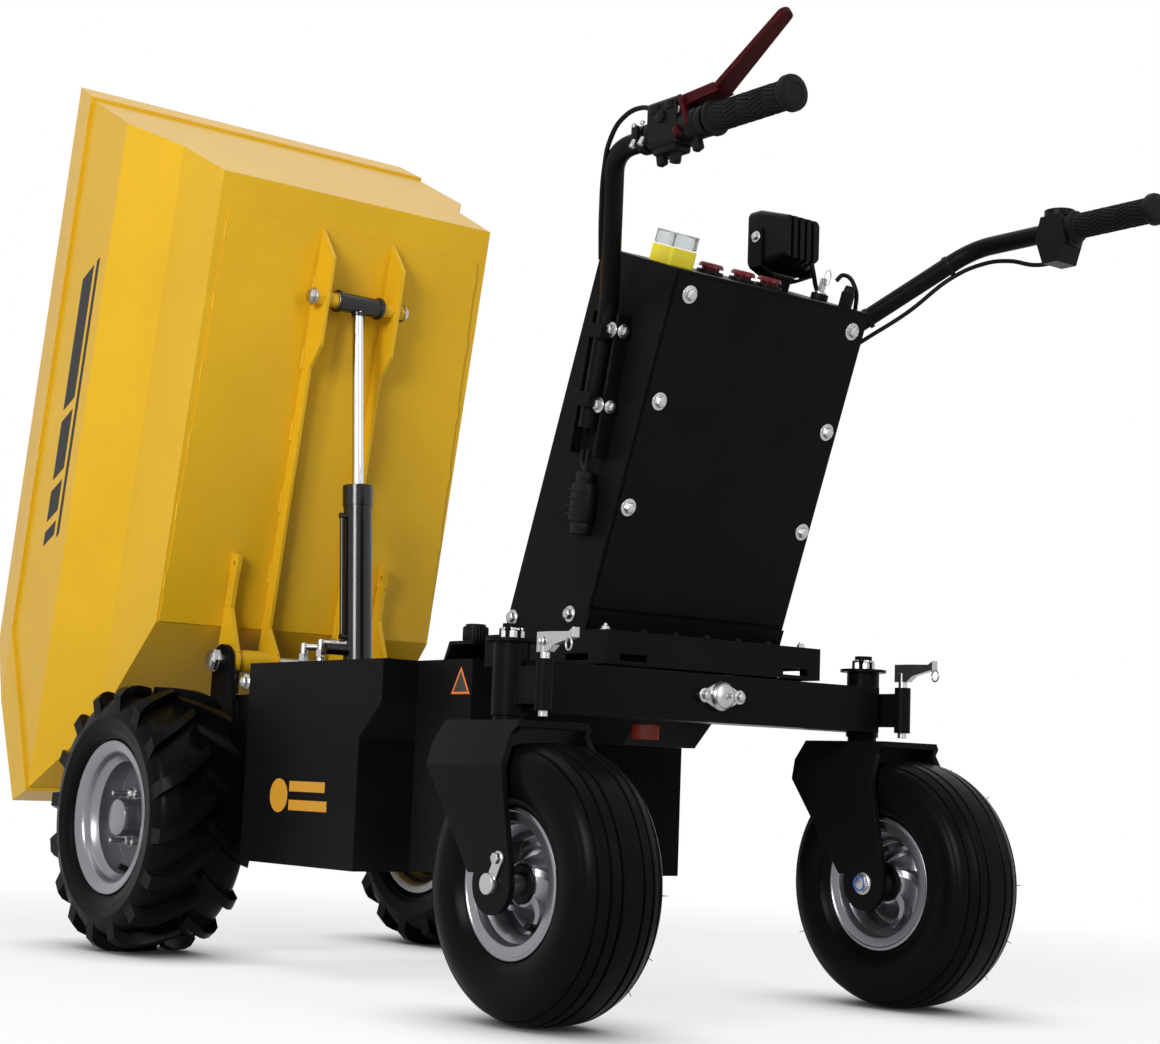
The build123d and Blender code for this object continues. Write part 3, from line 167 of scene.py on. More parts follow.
def use_group(tree, group, coords, **values):
    """A node of a shared group with its coordinates linked and its values set."""
    node = tree.nodes.new("ShaderNodeGroup")
    node.node_tree = group
    tree.links.new(coords, node.inputs["Coords"])
    for label, value in values.items():
        node.inputs[label.replace("_", " ")].default_value = value
    return node


def new_material(name):
    """A material, its tree, its surface shader and its coordinates."""
    material = bpy.data.materials.new(name)
    material.use_nodes = True
    tree = material.node_tree
    coords = tree.nodes.new("ShaderNodeTexCoord").outputs["Object"]
    return material, tree, tree.nodes["Principled BSDF"], coords


def finish_of(name, colour, other, rough, spread=0.08, metallic=0.0, coat=0.0, shine=0.5,
              grain=(900.0, 0.1), wave=(10.0, 0.04), edge=(0.5, (0.3, 0.3, 0.3)), dust=0.05,
              dust_colour=(0.30, 0.28, 0.25)):
    """A painted, plated or moulded surface: two tones in patches, grain, rubbed wear and painted highlight on its
    edges, and dust.
    """
    material, tree, shader, coords = new_material(name)
    tone = mix_colours(tree, ramp(tree, noise(tree, coords, 7.0, 5.0, 0.6), 0.3, 0.7), colour, other)
    # edge colour: rubbed wear, and a painted highlight where it is lighter than the finish
    edge_wear_and_highlight = use_group(tree, edge_group, coords, Amount=edge[0]).outputs["Mask"]
    tone = mix_colours(tree, edge_wear_and_highlight, tone, edge[1])
    film = use_group(tree, dust_group, coords, Amount=dust).outputs["Mask"]
    tree.links.new(mix_colours(tree, film, tone, dust_colour), shader.inputs["Base Color"])
    smear = maths(tree, "MULTIPLY", noise(tree, coords, 30.0, 4.0, 0.7), spread)
    level = maths(tree, "ADD", smear, rough - spread / 2)
    level = maths(tree, "ADD", level, maths(tree, "MULTIPLY", film, 0.35), clamp=True)
    tree.links.new(level, shader.inputs["Roughness"])
    skin = use_group(tree, grain_group, coords, Grain_Scale=grain[0], Grain=grain[1],
                     Wave_Scale=wave[0], Wave=wave[1])
    tree.links.new(skin.outputs["Normal"], shader.inputs["Normal"])
    shader.inputs["Metallic"].default_value = metallic
    shader.inputs["Coat Weight"].default_value = coat
    shader.inputs["Coat Roughness"].default_value = 0.12
    shader.inputs["Specular IOR Level"].default_value = shine
    return material


def dress(slot, material):
    """Give every CAD node of a material slot its finish."""
    for part in frame["record"]["subparts"]:
        if part["material_slot"] == slot:
            node = frame["nodes"][part["node"]]
            node.data.materials.clear()
            node.data.materials.append(material)


# lighter grey on the edges: rubbed wear with a painted edge highlight
black_sheet = finish_of("black_sheet", (0.0036, 0.0037, 0.0042), (0.0052, 0.0053, 0.0058), 0.38,
                        shine=0.03, grain=(1100.0, 0.14), wave=(9.0, 0.05),
                        edge=(0.30, (0.05, 0.05, 0.052)), dust=0.012)
battery_case = finish_of("battery_case", (0.03, 0.03, 0.034), (0.045, 0.045, 0.05), 0.5, dust=0.1)
dress("black_sheet", black_sheet)
dress("battery_case", battery_case)
axle_x = next(j for j in frame["joints"] if j["name"] == "drive_spin_left")["pos_m"][0]


def at(x, y, z):
    """A place whose x is counted from the drive axle."""
    return Vector((axle_x + x, y, z))


def facing(place, way, turn=0.0):
    """Matrix that stands a shape made along z at a place, pointing a way, turned about itself."""
    return (Matrix.Translation(place) @ Vector(way).to_track_quat("Z", "Y").to_matrix().to_4x4()
            @ Matrix.Rotation(turn, 4, "Z"))


def rod(bm, place, way, radius, length, sides=24, tip=None, soft=0.0, turn=0.0):
    """A round or many-sided rod that starts at a place, with its far end's edge softened."""
    made = bmesh.ops.create_cone(bm, cap_ends=True, segments=sides, radius1=radius,
                                 radius2=radius if tip is None else tip, depth=length,
                                 matrix=facing(place, way, turn) @ Matrix.Translation((0, 0, length / 2)))
    if soft:
        far = Vector(place) + Vector(way).normalized() * length
        rim = [e for e in {e for v in made["verts"] for e in v.link_edges}
               if all((v.co - far).dot(Vector(way)) > -1e-6 for v in e.verts)]
        bmesh.ops.bevel(bm, geom=rim, offset=soft, segments=2, profile=0.5, affect="EDGES", material=-1)
    return made["verts"]


def block(bm, place, size, soft=0.0, turned=None):
    """A box of a size about a place, with softened edges, turned by a matrix if one is given."""
    grown = Matrix.Diagonal((*size, 1.0))
    made = bmesh.ops.create_cube(bm, size=1.0,
                                 matrix=Matrix.Translation(place) @ (turned or Matrix()) @ grown)
    if soft:
        bmesh.ops.bevel(bm, geom=list({e for v in made["verts"] for e in v.link_edges}), offset=soft,
                        segments=2, profile=0.5, affect="EDGES", material=-1)


def piece(name, bm, body, material, *replaced, slot=None, crease=32.0):
    """Make an object of a mesh that rides a body and stands for the CAD nodes it replaces."""
    bmesh.ops.recalc_face_normals(bm, faces=bm.faces)
    mesh = bpy.data.meshes.new(name)
    bm.to_mesh(mesh)
    bm.free()
    mesh.shade_smooth()
    mesh.set_sharp_from_angle(angle=radians(crease))
    mesh.materials.append(material)
    obj = bpy.data.objects.new(name, mesh)
    scene.collection.objects.link(obj)
    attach(obj, body)
    if replaced:
        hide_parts(*replaced)
    return obj


# Round filler cap of moulded nylon on the tail's bracket, with grip flutes about its skirt.
black_plastic = finish_of("black_plastic", (0.0036, 0.0036, 0.0039), (0.0050, 0.0050, 0.0053), 0.38,
                          shine=0.07, grain=(1500.0, 0.10), wave=(14.0, 0.02),
                          edge=(0.0, (0.1, 0.1, 0.1)), dust=0.015)
dress("black_plastic", black_plastic)
cap_place = at(-0.668, 0.158, 0.470)
bm = bmesh.new()
rod(bm, cap_place, (0, 0, 1), 0.0166, 0.022, 48, soft=0.0012)
rod(bm, cap_place + Vector((0, 0, 0.0215)), (0, 0, 1), 0.0140, 0.0035, 40, soft=0.0012)
for k in range(24):
    flute = Matrix.Rotation(2 * pi * k / 24, 4, "Z")
    block(bm, cap_place + flute @ Vector((0.0167, 0, 0.0115)), (0.0024, 0.0020, 0.018), 0.0005, flute)
piece("filler_cap_fluted", bm, "chassis", black_plastic, "filler_cap", slot="black_plastic")

# Blank warning triangle beside the tail's deck: an orange outline printed on the sheet's film.
sign_orange = finish_of("sign_orange", (0.72, 0.16, 0.01), (0.66, 0.15, 0.012), 0.4, dust=0.02,
                        edge=(0.0, (0.5, 0.2, 0.1)), grain=(900.0, 0.02))
sign_black = finish_of("sign_black", (0.010, 0.010, 0.010), (0.014, 0.014, 0.014), 0.4, dust=0.02,
                       edge=(0.0, (0.1, 0.1, 0.1)), grain=(900.0, 0.02))
sign_place = at(-0.683, 0.1901, 0.410)
for name, radius, lift, finish in (("sign_edge", 0.0250, 0.0003, sign_orange),
                                   ("sign_field", 0.0185, 0.0006, sign_black)):
    bm = bmesh.new()
    rod(bm, sign_place, (0, 1, 0), radius, lift, 3)
    piece(name, bm, "chassis", finish)

# Plain spot and two plain bars of yellow film on the battery box's left wall, with nothing on them.
film_yellow = finish_of("film_yellow", (0.58, 0.27, 0.02), (0.53, 0.25, 0.02), 0.4, shine=0.2, dust=0.01,
                        edge=(0.0, (0.5, 0.3, 0.1)), grain=(900.0, 0.02))
bm = bmesh.new()
rod(bm, at(-0.3190, 0.2480, 0.2500), (0, 1, 0), 0.0245, 0.0006, 64)
for length, z in ((0.0960, 0.2640), (0.1030, 0.2370)):
    block(bm, at(-0.3480 - length / 2, 0.2482, z), (length, 0.0008, 0.0150))
piece("box_spot_and_bars", bm, "chassis", film_yellow)

# ---------------------------------------------------------------- frame under the tub
# Drive axle, hinge brackets, neck and cross beam: thick welded steel under the same black coat,
# smoother and a little glossier than the sheet.
# lighter grey on the edges: rubbed wear with a painted edge highlight
black_frame = finish_of("black_frame", (0.0034, 0.0034, 0.0037), (0.0046, 0.0046, 0.005), 0.34,
                        shine=0.035, grain=(1300.0, 0.08), wave=(10.0, 0.05),
                        edge=(0.40, (0.06, 0.06, 0.062)), dust=0.012)
dress("black_frame", black_frame)


def weld(bm, start, end, radius=0.0035, pitch=0.0045, seed=3):
    """A weld bead from start to end: a rod with overlapping swells, half sunk in the seam."""
    draw = random.Random(seed)
    start, end = Vector(start), Vector(end)
    way = end - start
    rings = max(3, int(way.length / pitch) * 2)
    made = bmesh.ops.create_circle(bm, segments=8, radius=radius, matrix=facing(start, way))
    ring = list({e for v in made["verts"] for e in v.link_edges})
    bmesh.ops.contextual_create(bm, geom=ring)
    for k in range(1, rings + 1):
        grown = bmesh.ops.extrude_edge_only(bm, edges=ring)["geom"]
        verts = [g for g in grown if isinstance(g, bmesh.types.BMVert)]
        swell = (1.14 if k % 2 else 0.90) * draw.uniform(0.93, 1.07) * (0.6 if k == rings else 1.0)
        middle = sum((v.co for v in verts), Vector()) / len(verts)
        goal = start + way * (k / rings)
        for v in verts:
            v.co = goal + (v.co - middle).normalized() * radius * swell
        ring = [g for g in grown if isinstance(g, bmesh.types.BMEdge)]
    bmesh.ops.contextual_create(bm, geom=ring)


bm = bmesh.new()
stem_x, stem_y = -0.953, 0.3086
for side in (1, -1):
    # beads down both sides of each stem tube, and along the neck's foot on the beam
    for behind in (0.0215, -0.0215):
        weld(bm, at(stem_x + behind, side * (stem_y - 0.010), 0.370),
             at(stem_x + behind, side * (stem_y - 0.010), 0.429), 0.003, seed=int(5 + behind * 100))
    weld(bm, at(-0.931, side * 0.064, 0.372), at(-0.931, side * 0.064, 0.421), 0.003)
    # beads of the hinge brackets on the tub's deck
    weld(bm, at(-0.018, side * 0.1575, 0.4060), at(-0.018, side * 0.1575, 0.4440), 0.003)
    weld(bm, at(-0.155, side * 0.0300, 0.2865), at(-0.124, side * 0.0300, 0.2865), 0.003)
piece("frame_welds", bm, "chassis", black_frame)

# ---------------------------------------------------------------- pivot of the cross beam
# Diamond flange bearing with two screws and a grease nipple, zinc plated as the other fasteners.
zinc = finish_of("zinc", (0.50, 0.50, 0.50), (0.40, 0.40, 0.40), 0.30, spread=0.14, metallic=1.0,
                 grain=(700.0, 0.06), edge=(0.0, (0.7, 0.7, 0.7)), dust=0.10, dust_colour=(0.22, 0.21, 0.20))
dress("zinc", zinc)


def hex_bolt(bm, place, way, radius, height, washer=1.5, stud=0.0, turn=0.3):
    """A washer, a hexagon head with its top corners taken off, and the end of a stud if there is one."""
    way = Vector(way).normalized()
    if washer:
        rod(bm, place, way, radius * washer, 0.0016, 28, soft=0.0005)
    start = Vector(place) + way * (0.0016 if washer else 0.0)
    rod(bm, start, way, radius, height * 0.8, 6, turn=turn)
    rod(bm, start + way * height * 0.8, way, radius, height * 0.2, 6, tip=radius * 0.86, turn=turn)
    rod(bm, start + way * height, way, radius * 0.62, 0.0006, 20, soft=0.0002)
    if stud:
        rod(bm, start + way * height, way, radius * 0.45, stud, 16, soft=0.0008)


def spun(bm, outline, place, way, steps):
    """A closed ring: an outline of (radius, along) points turned about a way through a place."""
    frame_way = facing(place, way)
    before = len(bm.verts)
    verts = [bm.verts.new(frame_way @ Vector((r, 0.0, w))) for r, w in outline]
    edges = [bm.edges.new((a, b)) for a, b in zip(verts, verts[1:] + verts[:1])]
    bmesh.ops.spin(bm, geom=verts + edges, cent=place, axis=Vector(way), angle=2 * pi, steps=steps,
                   use_merge=True)
    bm.verts.ensure_lookup_table()
    bmesh.ops.remove_doubles(bm, verts=bm.verts[before:], dist=1e-6)


def nipple(bm, place, way):
    """A grease nipple: hexagon foot, cone and ball head."""
    way = Vector(way).normalized()
    rod(bm, place, way, 0.0042, 0.0035, 6)
    rod(bm, Vector(place) + way * 0.0035, way, 0.0030, 0.0045, 14, tip=0.0019)
    rod(bm, Vector(place) + way * 0.0080, way, 0.0026, 0.0030, 14, soft=0.0010)


bearing = at(-0.992, 0.0, 0.402)
bm = bmesh.new()
flange = rod(bm, bearing, (-1, 0, 0), 0.0450, 0.0068, 4)
bmesh.ops.scale(bm, verts=flange, vec=(1.0, 1.0, 0.46), space=Matrix.Translation(-bearing))
corners = [e for e in {e for v in flange for e in v.link_edges}
           if abs(e.verts[0].co.x - e.verts[1].co.x) > 0.005]
bmesh.ops.bevel(bm, geom=corners, offset=0.0110, segments=5, profile=0.5, affect="EDGES", material=-1)
spun(bm, [(0.0, 0.0165), (0.0105, 0.0160), (0.0165, 0.0135), (0.0190, 0.0095), (0.0196, 0.0060),
          (0.0, 0.0060)], bearing, (-1, 0, 0), 56)
for side in (1, -1):
    hex_bolt(bm, at(-0.9988, side * 0.0305, 0.402), (-1, 0, 0), 0.0062, 0.0050)
nipple(bm, at(-1.0080, 0.0, 0.402), (-1, 0, 0))
piece("pivot_flange", bm, "chassis", zinc, "pivot_bearing", slot="zinc")
bm = bmesh.new()
nipple(bm, at(-0.630, 0.150, 0.445), (0, 0, 1))
piece("tail_nipple", bm, "chassis", zinc)

# ---------------------------------------------------------------- drive tyres
# Tractor tread of black rubber moulded in one piece: bulging walls with raised rings, and long
# bars that sweep back from the middle in two rows set half a pitch apart.
tyre_rubber = finish_of("tyre", (0.0022, 0.0022, 0.0024), (0.0032, 0.0032, 0.0032), 0.30, shine=0.035,
                        spread=0.12, grain=(500.0, 0.16), wave=(20.0, 0.08),
                        edge=(0.0, (0.05, 0.05, 0.05)), dust=0.03, dust_colour=(0.03, 0.029, 0.028))
dress("tyre", tyre_rubber)
drive_r, drive_y = 0.205, 0.289
lug_count = 16
lug_draft, crown_foot, shoulder_foot, lug_soft_from = 0.0022, 0.178, 0.150, 0.18
drive_wall = [(0.1010, 0.0655), (0.1185, 0.0662), (0.1215, 0.0700), (0.1240, 0.0715), (0.1262, 0.0740),
              (0.1282, 0.0742), (0.1300, 0.0755), (0.1400, 0.0782), (0.1500, 0.0792), (0.1525, 0.0800),
              (0.1550, 0.0800), (0.1575, 0.0792), (0.1660, 0.0780), (0.1740, 0.0742), (0.1800, 0.0685),
              (0.1838, 0.0600), (0.1854, 0.0440), (0.1860, 0.0220)]
# forward, across, half width and top radius of one bar from the middle to the shoulder
lug_stations = [(0.0345, -0.0040, 0.0080, 0.2045), (0.0180, 0.0150, 0.0080, 0.2050),
                (0.0040, 0.0310, 0.0084, 0.2050), (-0.0060, 0.0450, 0.0088, 0.2047),
                (-0.0135, 0.0570, 0.0092, 0.2030), (-0.0185, 0.0690, 0.0098, 0.1985),
                (-0.0222, 0.0788, 0.0104, 0.1885)]


def lofted(bm, sections, fold):
    """A closed bar through four-cornered sections; returns its edges that turn past a fold."""
    rows = [[bm.verts.new(place) for place in section] for section in sections]
    faces = [bm.faces.new(rows[0]), bm.faces.new(rows[-1][::-1])]
    for near, far in zip(rows, rows[1:]):
        faces += [bm.faces.new((near[j], near[(j + 1) % 4], far[(j + 1) % 4], far[j])) for j in range(4)]
    return [e for e in {e for f in faces for e in f.edges} if e.calc_face_angle(0.0) > fold]


for side in (1, -1):
    hand = "left" if side > 0 else "right"
    hub = at(0.0, side * drive_y, drive_r)
    bm = bmesh.new()
    spun(bm, drive_wall + [(r, -w) for r, w in reversed(drive_wall)], hub, (0, 1, 0), 112)
    for row in (1, -1):
        for k in range(lug_count):
            turned = Matrix.Rotation(2 * pi * (k + (0.5 if row < 0 else 0.0)) / lug_count, 4, "Y")
            sections = []
            for ahead, across, half, top in lug_stations:
                foot = shoulder_foot if across > 0.065 else crown_foot
                wide = half + lug_draft
                corners = [(ahead - wide, foot), (ahead - half, top), (ahead + half, top),
                           (ahead + wide, foot)]
                sections.append([hub + turned @ Vector((f, row * across, (r * r - f * f) ** 0.5))
                                 for f, r in corners])
            edges = [e for e in lofted(bm, sections, 0.5)
                     if all((v.co - hub).length > lug_soft_from for v in e.verts)]
            bmesh.ops.bevel(bm, geom=edges, offset=0.0016, segments=2, profile=0.5, affect="EDGES",
                            material=-1)
    piece(f"drive_tread_{hand}", bm, f"drive_wheel_{hand}", tyre_rubber, f"drive_tyre_{hand}", slot="tyre")

# ---------------------------------------------------------------- drive rims
# Rims rolled from steel strip with a beaded lip and stepped seats, painted silver, on a pressed
# disc that is held to the hub by four long studs; the hub's nut sits under a round cup.
rim_silver = finish_of("rim_silver", (0.25, 0.25, 0.27), (0.22, 0.22, 0.24), 0.25, spread=0.05,
                       metallic=0.85, coat=0.08, shine=0.5, grain=(900.0, 0.012), wave=(14.0, 0.03),
                       edge=(0.05, (0.22, 0.22, 0.22)), dust=0.015, dust_colour=(0.16, 0.155, 0.15))
dress("rim_silver", rim_silver)
drive_barrel = [(0.1164, 0.0706), (0.1180, 0.0696), (0.1180, 0.0680), (0.1152, 0.0668), (0.1090, 0.0662),
                (0.1040, 0.0645), (0.1016, 0.0610), (0.1008, 0.0540), (0.0990, 0.0500), (0.0905, 0.0430),
                (0.0892, 0.0380)]
drive_face = [(0.0856, 0.0380), (0.0866, 0.0440), (0.0950, 0.0510), (0.0972, 0.0550), (0.0980, 0.0615),
              (0.1008, 0.0655), (0.1060, 0.0684), (0.1110, 0.0690), (0.1140, 0.0702)]
hub_disc = [(0.0155, 0.0405), (0.0155, -0.0065), (0.0350, -0.0065), (0.0360, -0.0055), (0.0360, 0.0030),
            (0.0860, 0.0030), (0.0872, 0.0060), (0.0872, 0.0090), (0.0862, 0.0110), (0.0780, 0.0125),
            (0.0700, 0.0110), (0.0620, 0.0110), (0.0560, 0.0125), (0.0340, 0.0125), (0.0296, 0.0150),
            (0.0280, 0.0390), (0.0270, 0.0405)]
for side in (1, -1):
    hand = "left" if side > 0 else "right"
    hub = at(0.0, side * drive_y, drive_r)
    out = Vector((0, side, 0))
    bm = bmesh.new()
    spun(bm, drive_barrel + [(r, -w) for r, w in reversed(drive_barrel)]
         + [(r, -w) for r, w in reversed(drive_face)] + drive_face, hub, (0, 1, 0), 128)
    spun(bm, hub_disc, hub, out, 96)
    cup = [(0.0245, 0.0360), (0.0290, 0.0360), (0.0290, 0.0520), (0.0278, 0.0560), (0.0240, 0.0582),
           (0.0100, 0.0590), (0.0, 0.0590), (0.0, 0.0576), (0.0225, 0.0568), (0.0245, 0.0540)]
    spun(bm, cup, hub, out, 72)
    piece(f"drive_rim_{hand}_rolled", bm, f"drive_wheel_{hand}", rim_silver, f"drive_rim_{hand}",
          slot="rim_silver")
    bm = bmesh.new()
    for k in range(4):
        spoke = Matrix.Rotation(2 * pi * (k + 0.5) / 4, 4, "Y") @ Vector((0.0515, 0, 0))
        place = hub + spoke + out * 0.0122
        hex_bolt(bm, place, out, 0.0086, 0.0080, washer=1.4, stud=0.026, turn=0.2 + k)
    piece(f"drive_studs_{hand}", bm, f"drive_wheel_{hand}", zinc)
    # short rubber valve near the bottom of the barrel, tilted outwards
    bm = bmesh.new()
    foot = hub + Vector((-0.020, side * 0.036, -0.0822))
    aim = Vector((0.05, side, 0.42)).normalized()
    rod(bm, foot - aim * 0.004, aim, 0.0062, 0.014, 20, tip=0.0048, soft=0.0005)
    rod(bm, foot + aim * 0.010, aim, 0.0050, 0.013, 20, soft=0.0012)
    piece(f"drive_valve_{hand}", bm, f"drive_wheel_{hand}", black_plastic)

# ---------------------------------------------------------------- caster tyres
# Wheelbarrow tyres of soft black rubber with five smooth ribs, glossy shoulders, a bead line by
# the rim and a few thin whiskers left by the mould's vents.
caster_x, caster_y, caster_r = -1.035, 0.3086, 0.165
caster_wall = [(0.0730, 0.0460), (0.0895, 0.0472), (0.0905, 0.0505), (0.0935, 0.0530), (0.0990, 0.0592),
               (0.1015, 0.0600), (0.1060, 0.0612), (0.1200, 0.0634), (0.1300, 0.0624), (0.1400, 0.0600),
               (0.1440, 0.0580), (0.1452, 0.0572), (0.1475, 0.0568), (0.1530, 0.0525), (0.1560, 0.0490),
               (0.1560, 0.0465), (0.1545, 0.0458), (0.1548, 0.0446), (0.1580, 0.0440), (0.1605, 0.0400),
               (0.1628, 0.0335), (0.1600, 0.0318), (0.1600, 0.0300), (0.1635, 0.0285), (0.1645, 0.0185),
               (0.1612, 0.0168), (0.1612, 0.0148), (0.1648, 0.0132), (0.1650, 0.0060), (0.1650, 0.0)]
draw = random.Random(11)
whisker_count = 14
for side in (1, -1):
    hand = "left" if side > 0 else "right"
    hub = at(caster_x, side * caster_y, caster_r)
    bm = bmesh.new()
    spun(bm, caster_wall + [(r, -w) for r, w in reversed(caster_wall[:-1])], hub, (0, 1, 0), 128)
    piece(f"caster_tread_{hand}", bm, f"caster_wheel_{hand}", tyre_rubber, f"caster_tyre_{hand}", slot="tyre")
    bm = bmesh.new()
    for k in range(whisker_count):
        angle = 2 * pi * (k + draw.uniform(-0.2, 0.2)) / whisker_count + 0.9
        across = draw.choice((-0.050, 0.052, -0.051))
        spoke = Vector((cos(angle), 0, sin(angle)))
        if spoke.z < -0.86:
            continue
        foot = hub + spoke * 0.1520 + Vector((0, across, 0))
        stray = Vector((draw.uniform(-1, 1), 0, draw.uniform(-1, 1))) * 0.3
        rod(bm, foot, spoke + Vector((0, across * 6, 0)) + stray, 0.0006, 0.0085, 6, tip=0.0004)
    piece(f"caster_whiskers_{hand}", bm, f"caster_wheel_{hand}", tyre_rubber)

# ---------------------------------------------------------------- caster rims
# Two pressed steel halves, painted silver, with a rolled lip and curved hollows pressed into the
# dish; a plain black tube runs through as the hub and a rubber valve stands in the lower half.
caster_lip = [(0.0870, 0.0520), (0.0888, 0.0510), (0.0888, 0.0492), (0.0870, 0.0484), (0.0760, 0.0480),
              (0.0735, 0.0460), (0.0728, 0.0380), (0.0640, 0.0300), (0.0615, 0.0240)]
caster_face = [(0.0575, 0.0240), (0.0600, 0.0310), (0.0690, 0.0385), (0.0700, 0.0460), (0.0722, 0.0494),
               (0.0780, 0.0502), (0.0835, 0.0508), (0.0850, 0.0520)]
caster_dish = [(0.0235, 0.0320), (0.0268, 0.0315), (0.0300, 0.0280), (0.0350, 0.0190), (0.0420, 0.0120),
               (0.0500, 0.0085), (0.0560, 0.0090), (0.0600, 0.0120)]
swirl_count, swirl_steps, swirl_turn, swirl_depth = 5, 8, 0.95, 0.0160
for side in (1, -1):
    hand = "left" if side > 0 else "right"
    hub = at(caster_x, side * caster_y, caster_r)
    bm = bmesh.new()
    spun(bm, caster_lip + [(r, -w) for r, w in reversed(caster_lip)]
         + [(r, -w) for r, w in reversed(caster_face)] + caster_face, hub, (0, 1, 0), 128)
    spun(bm, caster_dish + [(r, -w) for r, w in reversed(caster_dish)], hub, (0, 1, 0), 96)
    # curved ribs stand on both sides of the dish between the pressed hollows
    for face_side in (1, -1):
        for k in range(swirl_count):
            sections = []
            for step in range(swirl_steps + 1):
                share = step / swirl_steps
                radius = 0.0250 + 0.0350 * share
                angle = 2 * pi * k / swirl_count + swirl_turn * share * face_side
                along = Vector((cos(angle), 0, sin(angle)))
                beside = Vector((-sin(angle), 0, cos(angle)))
                middle = hub + along * radius
                height = 0.0330 - 0.0330 * share + 0.0270 * share * share
                corners = [(-0.0105, height - swirl_depth), (-0.0052, height), (0.0052, height),
                           (0.0105, height - swirl_depth)]
                sections.append([middle + beside * s + Vector((0, face_side * h, 0)) for s, h in corners])
            bmesh.ops.bevel(bm, geom=lofted(bm, sections, 0.6), offset=0.0034, segments=4, profile=0.5,
                            affect="EDGES", material=-1)
    piece(f"caster_rim_{hand}_pressed", bm, f"caster_wheel_{hand}", rim_silver, f"caster_rim_{hand}",
          slot="rim_silver")
    bm = bmesh.new()
    hub_tube = [(0.0085, 0.0355), (0.0085, -0.0355), (0.0225, -0.0355), (0.0240, -0.0340), (0.0240, 0.0340),
                (0.0225, 0.0355)]
    spun(bm, hub_tube, hub, (0, 1, 0), 64)
    valve_foot = hub + Vector((-0.020, side * 0.020, -0.052))
    rod(bm, valve_foot, (-0.2, side * 1.0, 0.25), 0.0058, 0.012, 20, tip=0.0044, soft=0.0005)
    rod(bm, valve_foot + Vector((-0.0024, side * 0.0115, 0.0028)), (-0.2, side * 1.0, 0.25), 0.0048,
        0.011, 20, soft=0.0012)
    piece(f"caster_hub_{hand}", bm, f"caster_wheel_{hand}", black_plastic)

# ---------------------------------------------------------------- caster bolts and locks
# Plated bolt through both fork legs: a round head kept by a small plate on the outer leg, a nut
# with a nylon ring on the inner one.  The stem carries a slotted nut, its pin and a nipple.
nut_nylon = finish_of("nut_nylon", (0.02, 0.09, 0.42), (0.03, 0.12, 0.46), 0.4, dust=0.02,
                      edge=(0.0, (0.1, 0.2, 0.5)))
fork_leg = 0.078
for side in (1, -1):
    hand = "left" if side > 0 else "right"
    leg_out = at(caster_x, side * (caster_y + fork_leg), caster_r)
    leg_in = at(caster_x, side * (caster_y - fork_leg), caster_r)
    out = Vector((0, side, 0))
    bm = bmesh.new()
    rod(bm, leg_out, out, 0.0128, 0.0078, 48, soft=0.0022)
    rod(bm, leg_out + Vector((-0.017, side * 0.0035, 0.030)), out, 0.0068, 0.0060, 6, turn=0.4)
    block(bm, leg_out + Vector((-0.0095, side * 0.0018, 0.0160)), (0.0150, 0.0034, 0.0440), 0.0010,
          Matrix.Rotation(radians(-28), 4, "Y"))
    rod(bm, leg_out + Vector((-0.0165, 0.0, 0.0300)), out, 0.0086, 0.0036, 28, soft=0.0008)
    rod(bm, leg_in, -out, 0.0150, 0.0020, 36, soft=0.0006)
    rod(bm, leg_in - out * 0.0020, -out, 0.0126, 0.0040, 6, turn=0.3)
    rod(bm, leg_in - out * 0.0060, -out, 0.0108, 0.0018, 28, soft=0.0008)
    for inner in (1, -1):
        rod(bm, at(caster_x, side * caster_y + inner * 0.0360, caster_r), (0, inner, 0), 0.0136, 0.0335, 40)
    rod(bm, at(caster_x, side * caster_y - 0.070, caster_r), (0, 1, 0), 0.0078, 0.140, 24)
    piece(f"caster_bolt_{hand}_plated", bm, f"caster_{hand}", zinc, f"caster_bolt_{hand}", slot="zinc")
    bm = bmesh.new()
    spun(bm, [(0.0082, 0.0), (0.0104, 0.0), (0.0100, 0.0012), (0.0084, 0.0012)], leg_in - out * 0.0076,
         -out, 32)
    piece(f"caster_nut_ring_{hand}", bm, f"caster_{hand}", nut_nylon)
    # slotted nut with its split pin, and a nipple in the stem's end
    top = at(stem_x, side * stem_y, 0.4565)
    bm = bmesh.new()
    rod(bm, top + Vector((0, 0, 0.0002)), (0, 0, 1), 0.0165, 0.0085, 6)
    for k in range(6):
        tooth = Matrix.Rotation(2 * pi * (k + 0.5) / 6, 4, "Z")
        block(bm, top + tooth @ Vector((0.0128, 0, 0.0105)), (0.0042, 0.0072, 0.0042), 0.0006, tooth)
    rod(bm, top + Vector((0, 0, 0.0080)), (0, 0, 1), 0.0118, 0.0070, 32, soft=0.0012)
    rod(bm, top + Vector((-0.018, 0.004, 0.0105)), (1, -0.2, 0), 0.0014, 0.036, 8)
    piece(f"stem_nut_{hand}", bm, f"caster_{hand}", zinc)

# Stamped lock levers over the lock pins, each with a small ring at its tip.
bm = bmesh.new()
for side in (1, -1):
    tip = at(-1.0780, side * 0.312, 0.4520)
    ring = [(0.0075 + 0.0012 * cos(a * pi / 4), 0.0012 * sin(a * pi / 4)) for a in range(8)]
    spun(bm, ring, tip + Vector((0.0, side * 0.0065, -0.006)), (0.2, 1, 0), 28)
    hex_bolt(bm, at(-1.0250, side * 0.3180, 0.4505), (0, side, 0), 0.0042, 0.0034, washer=1.3)
piece("lock_rings", bm, "chassis", zinc)

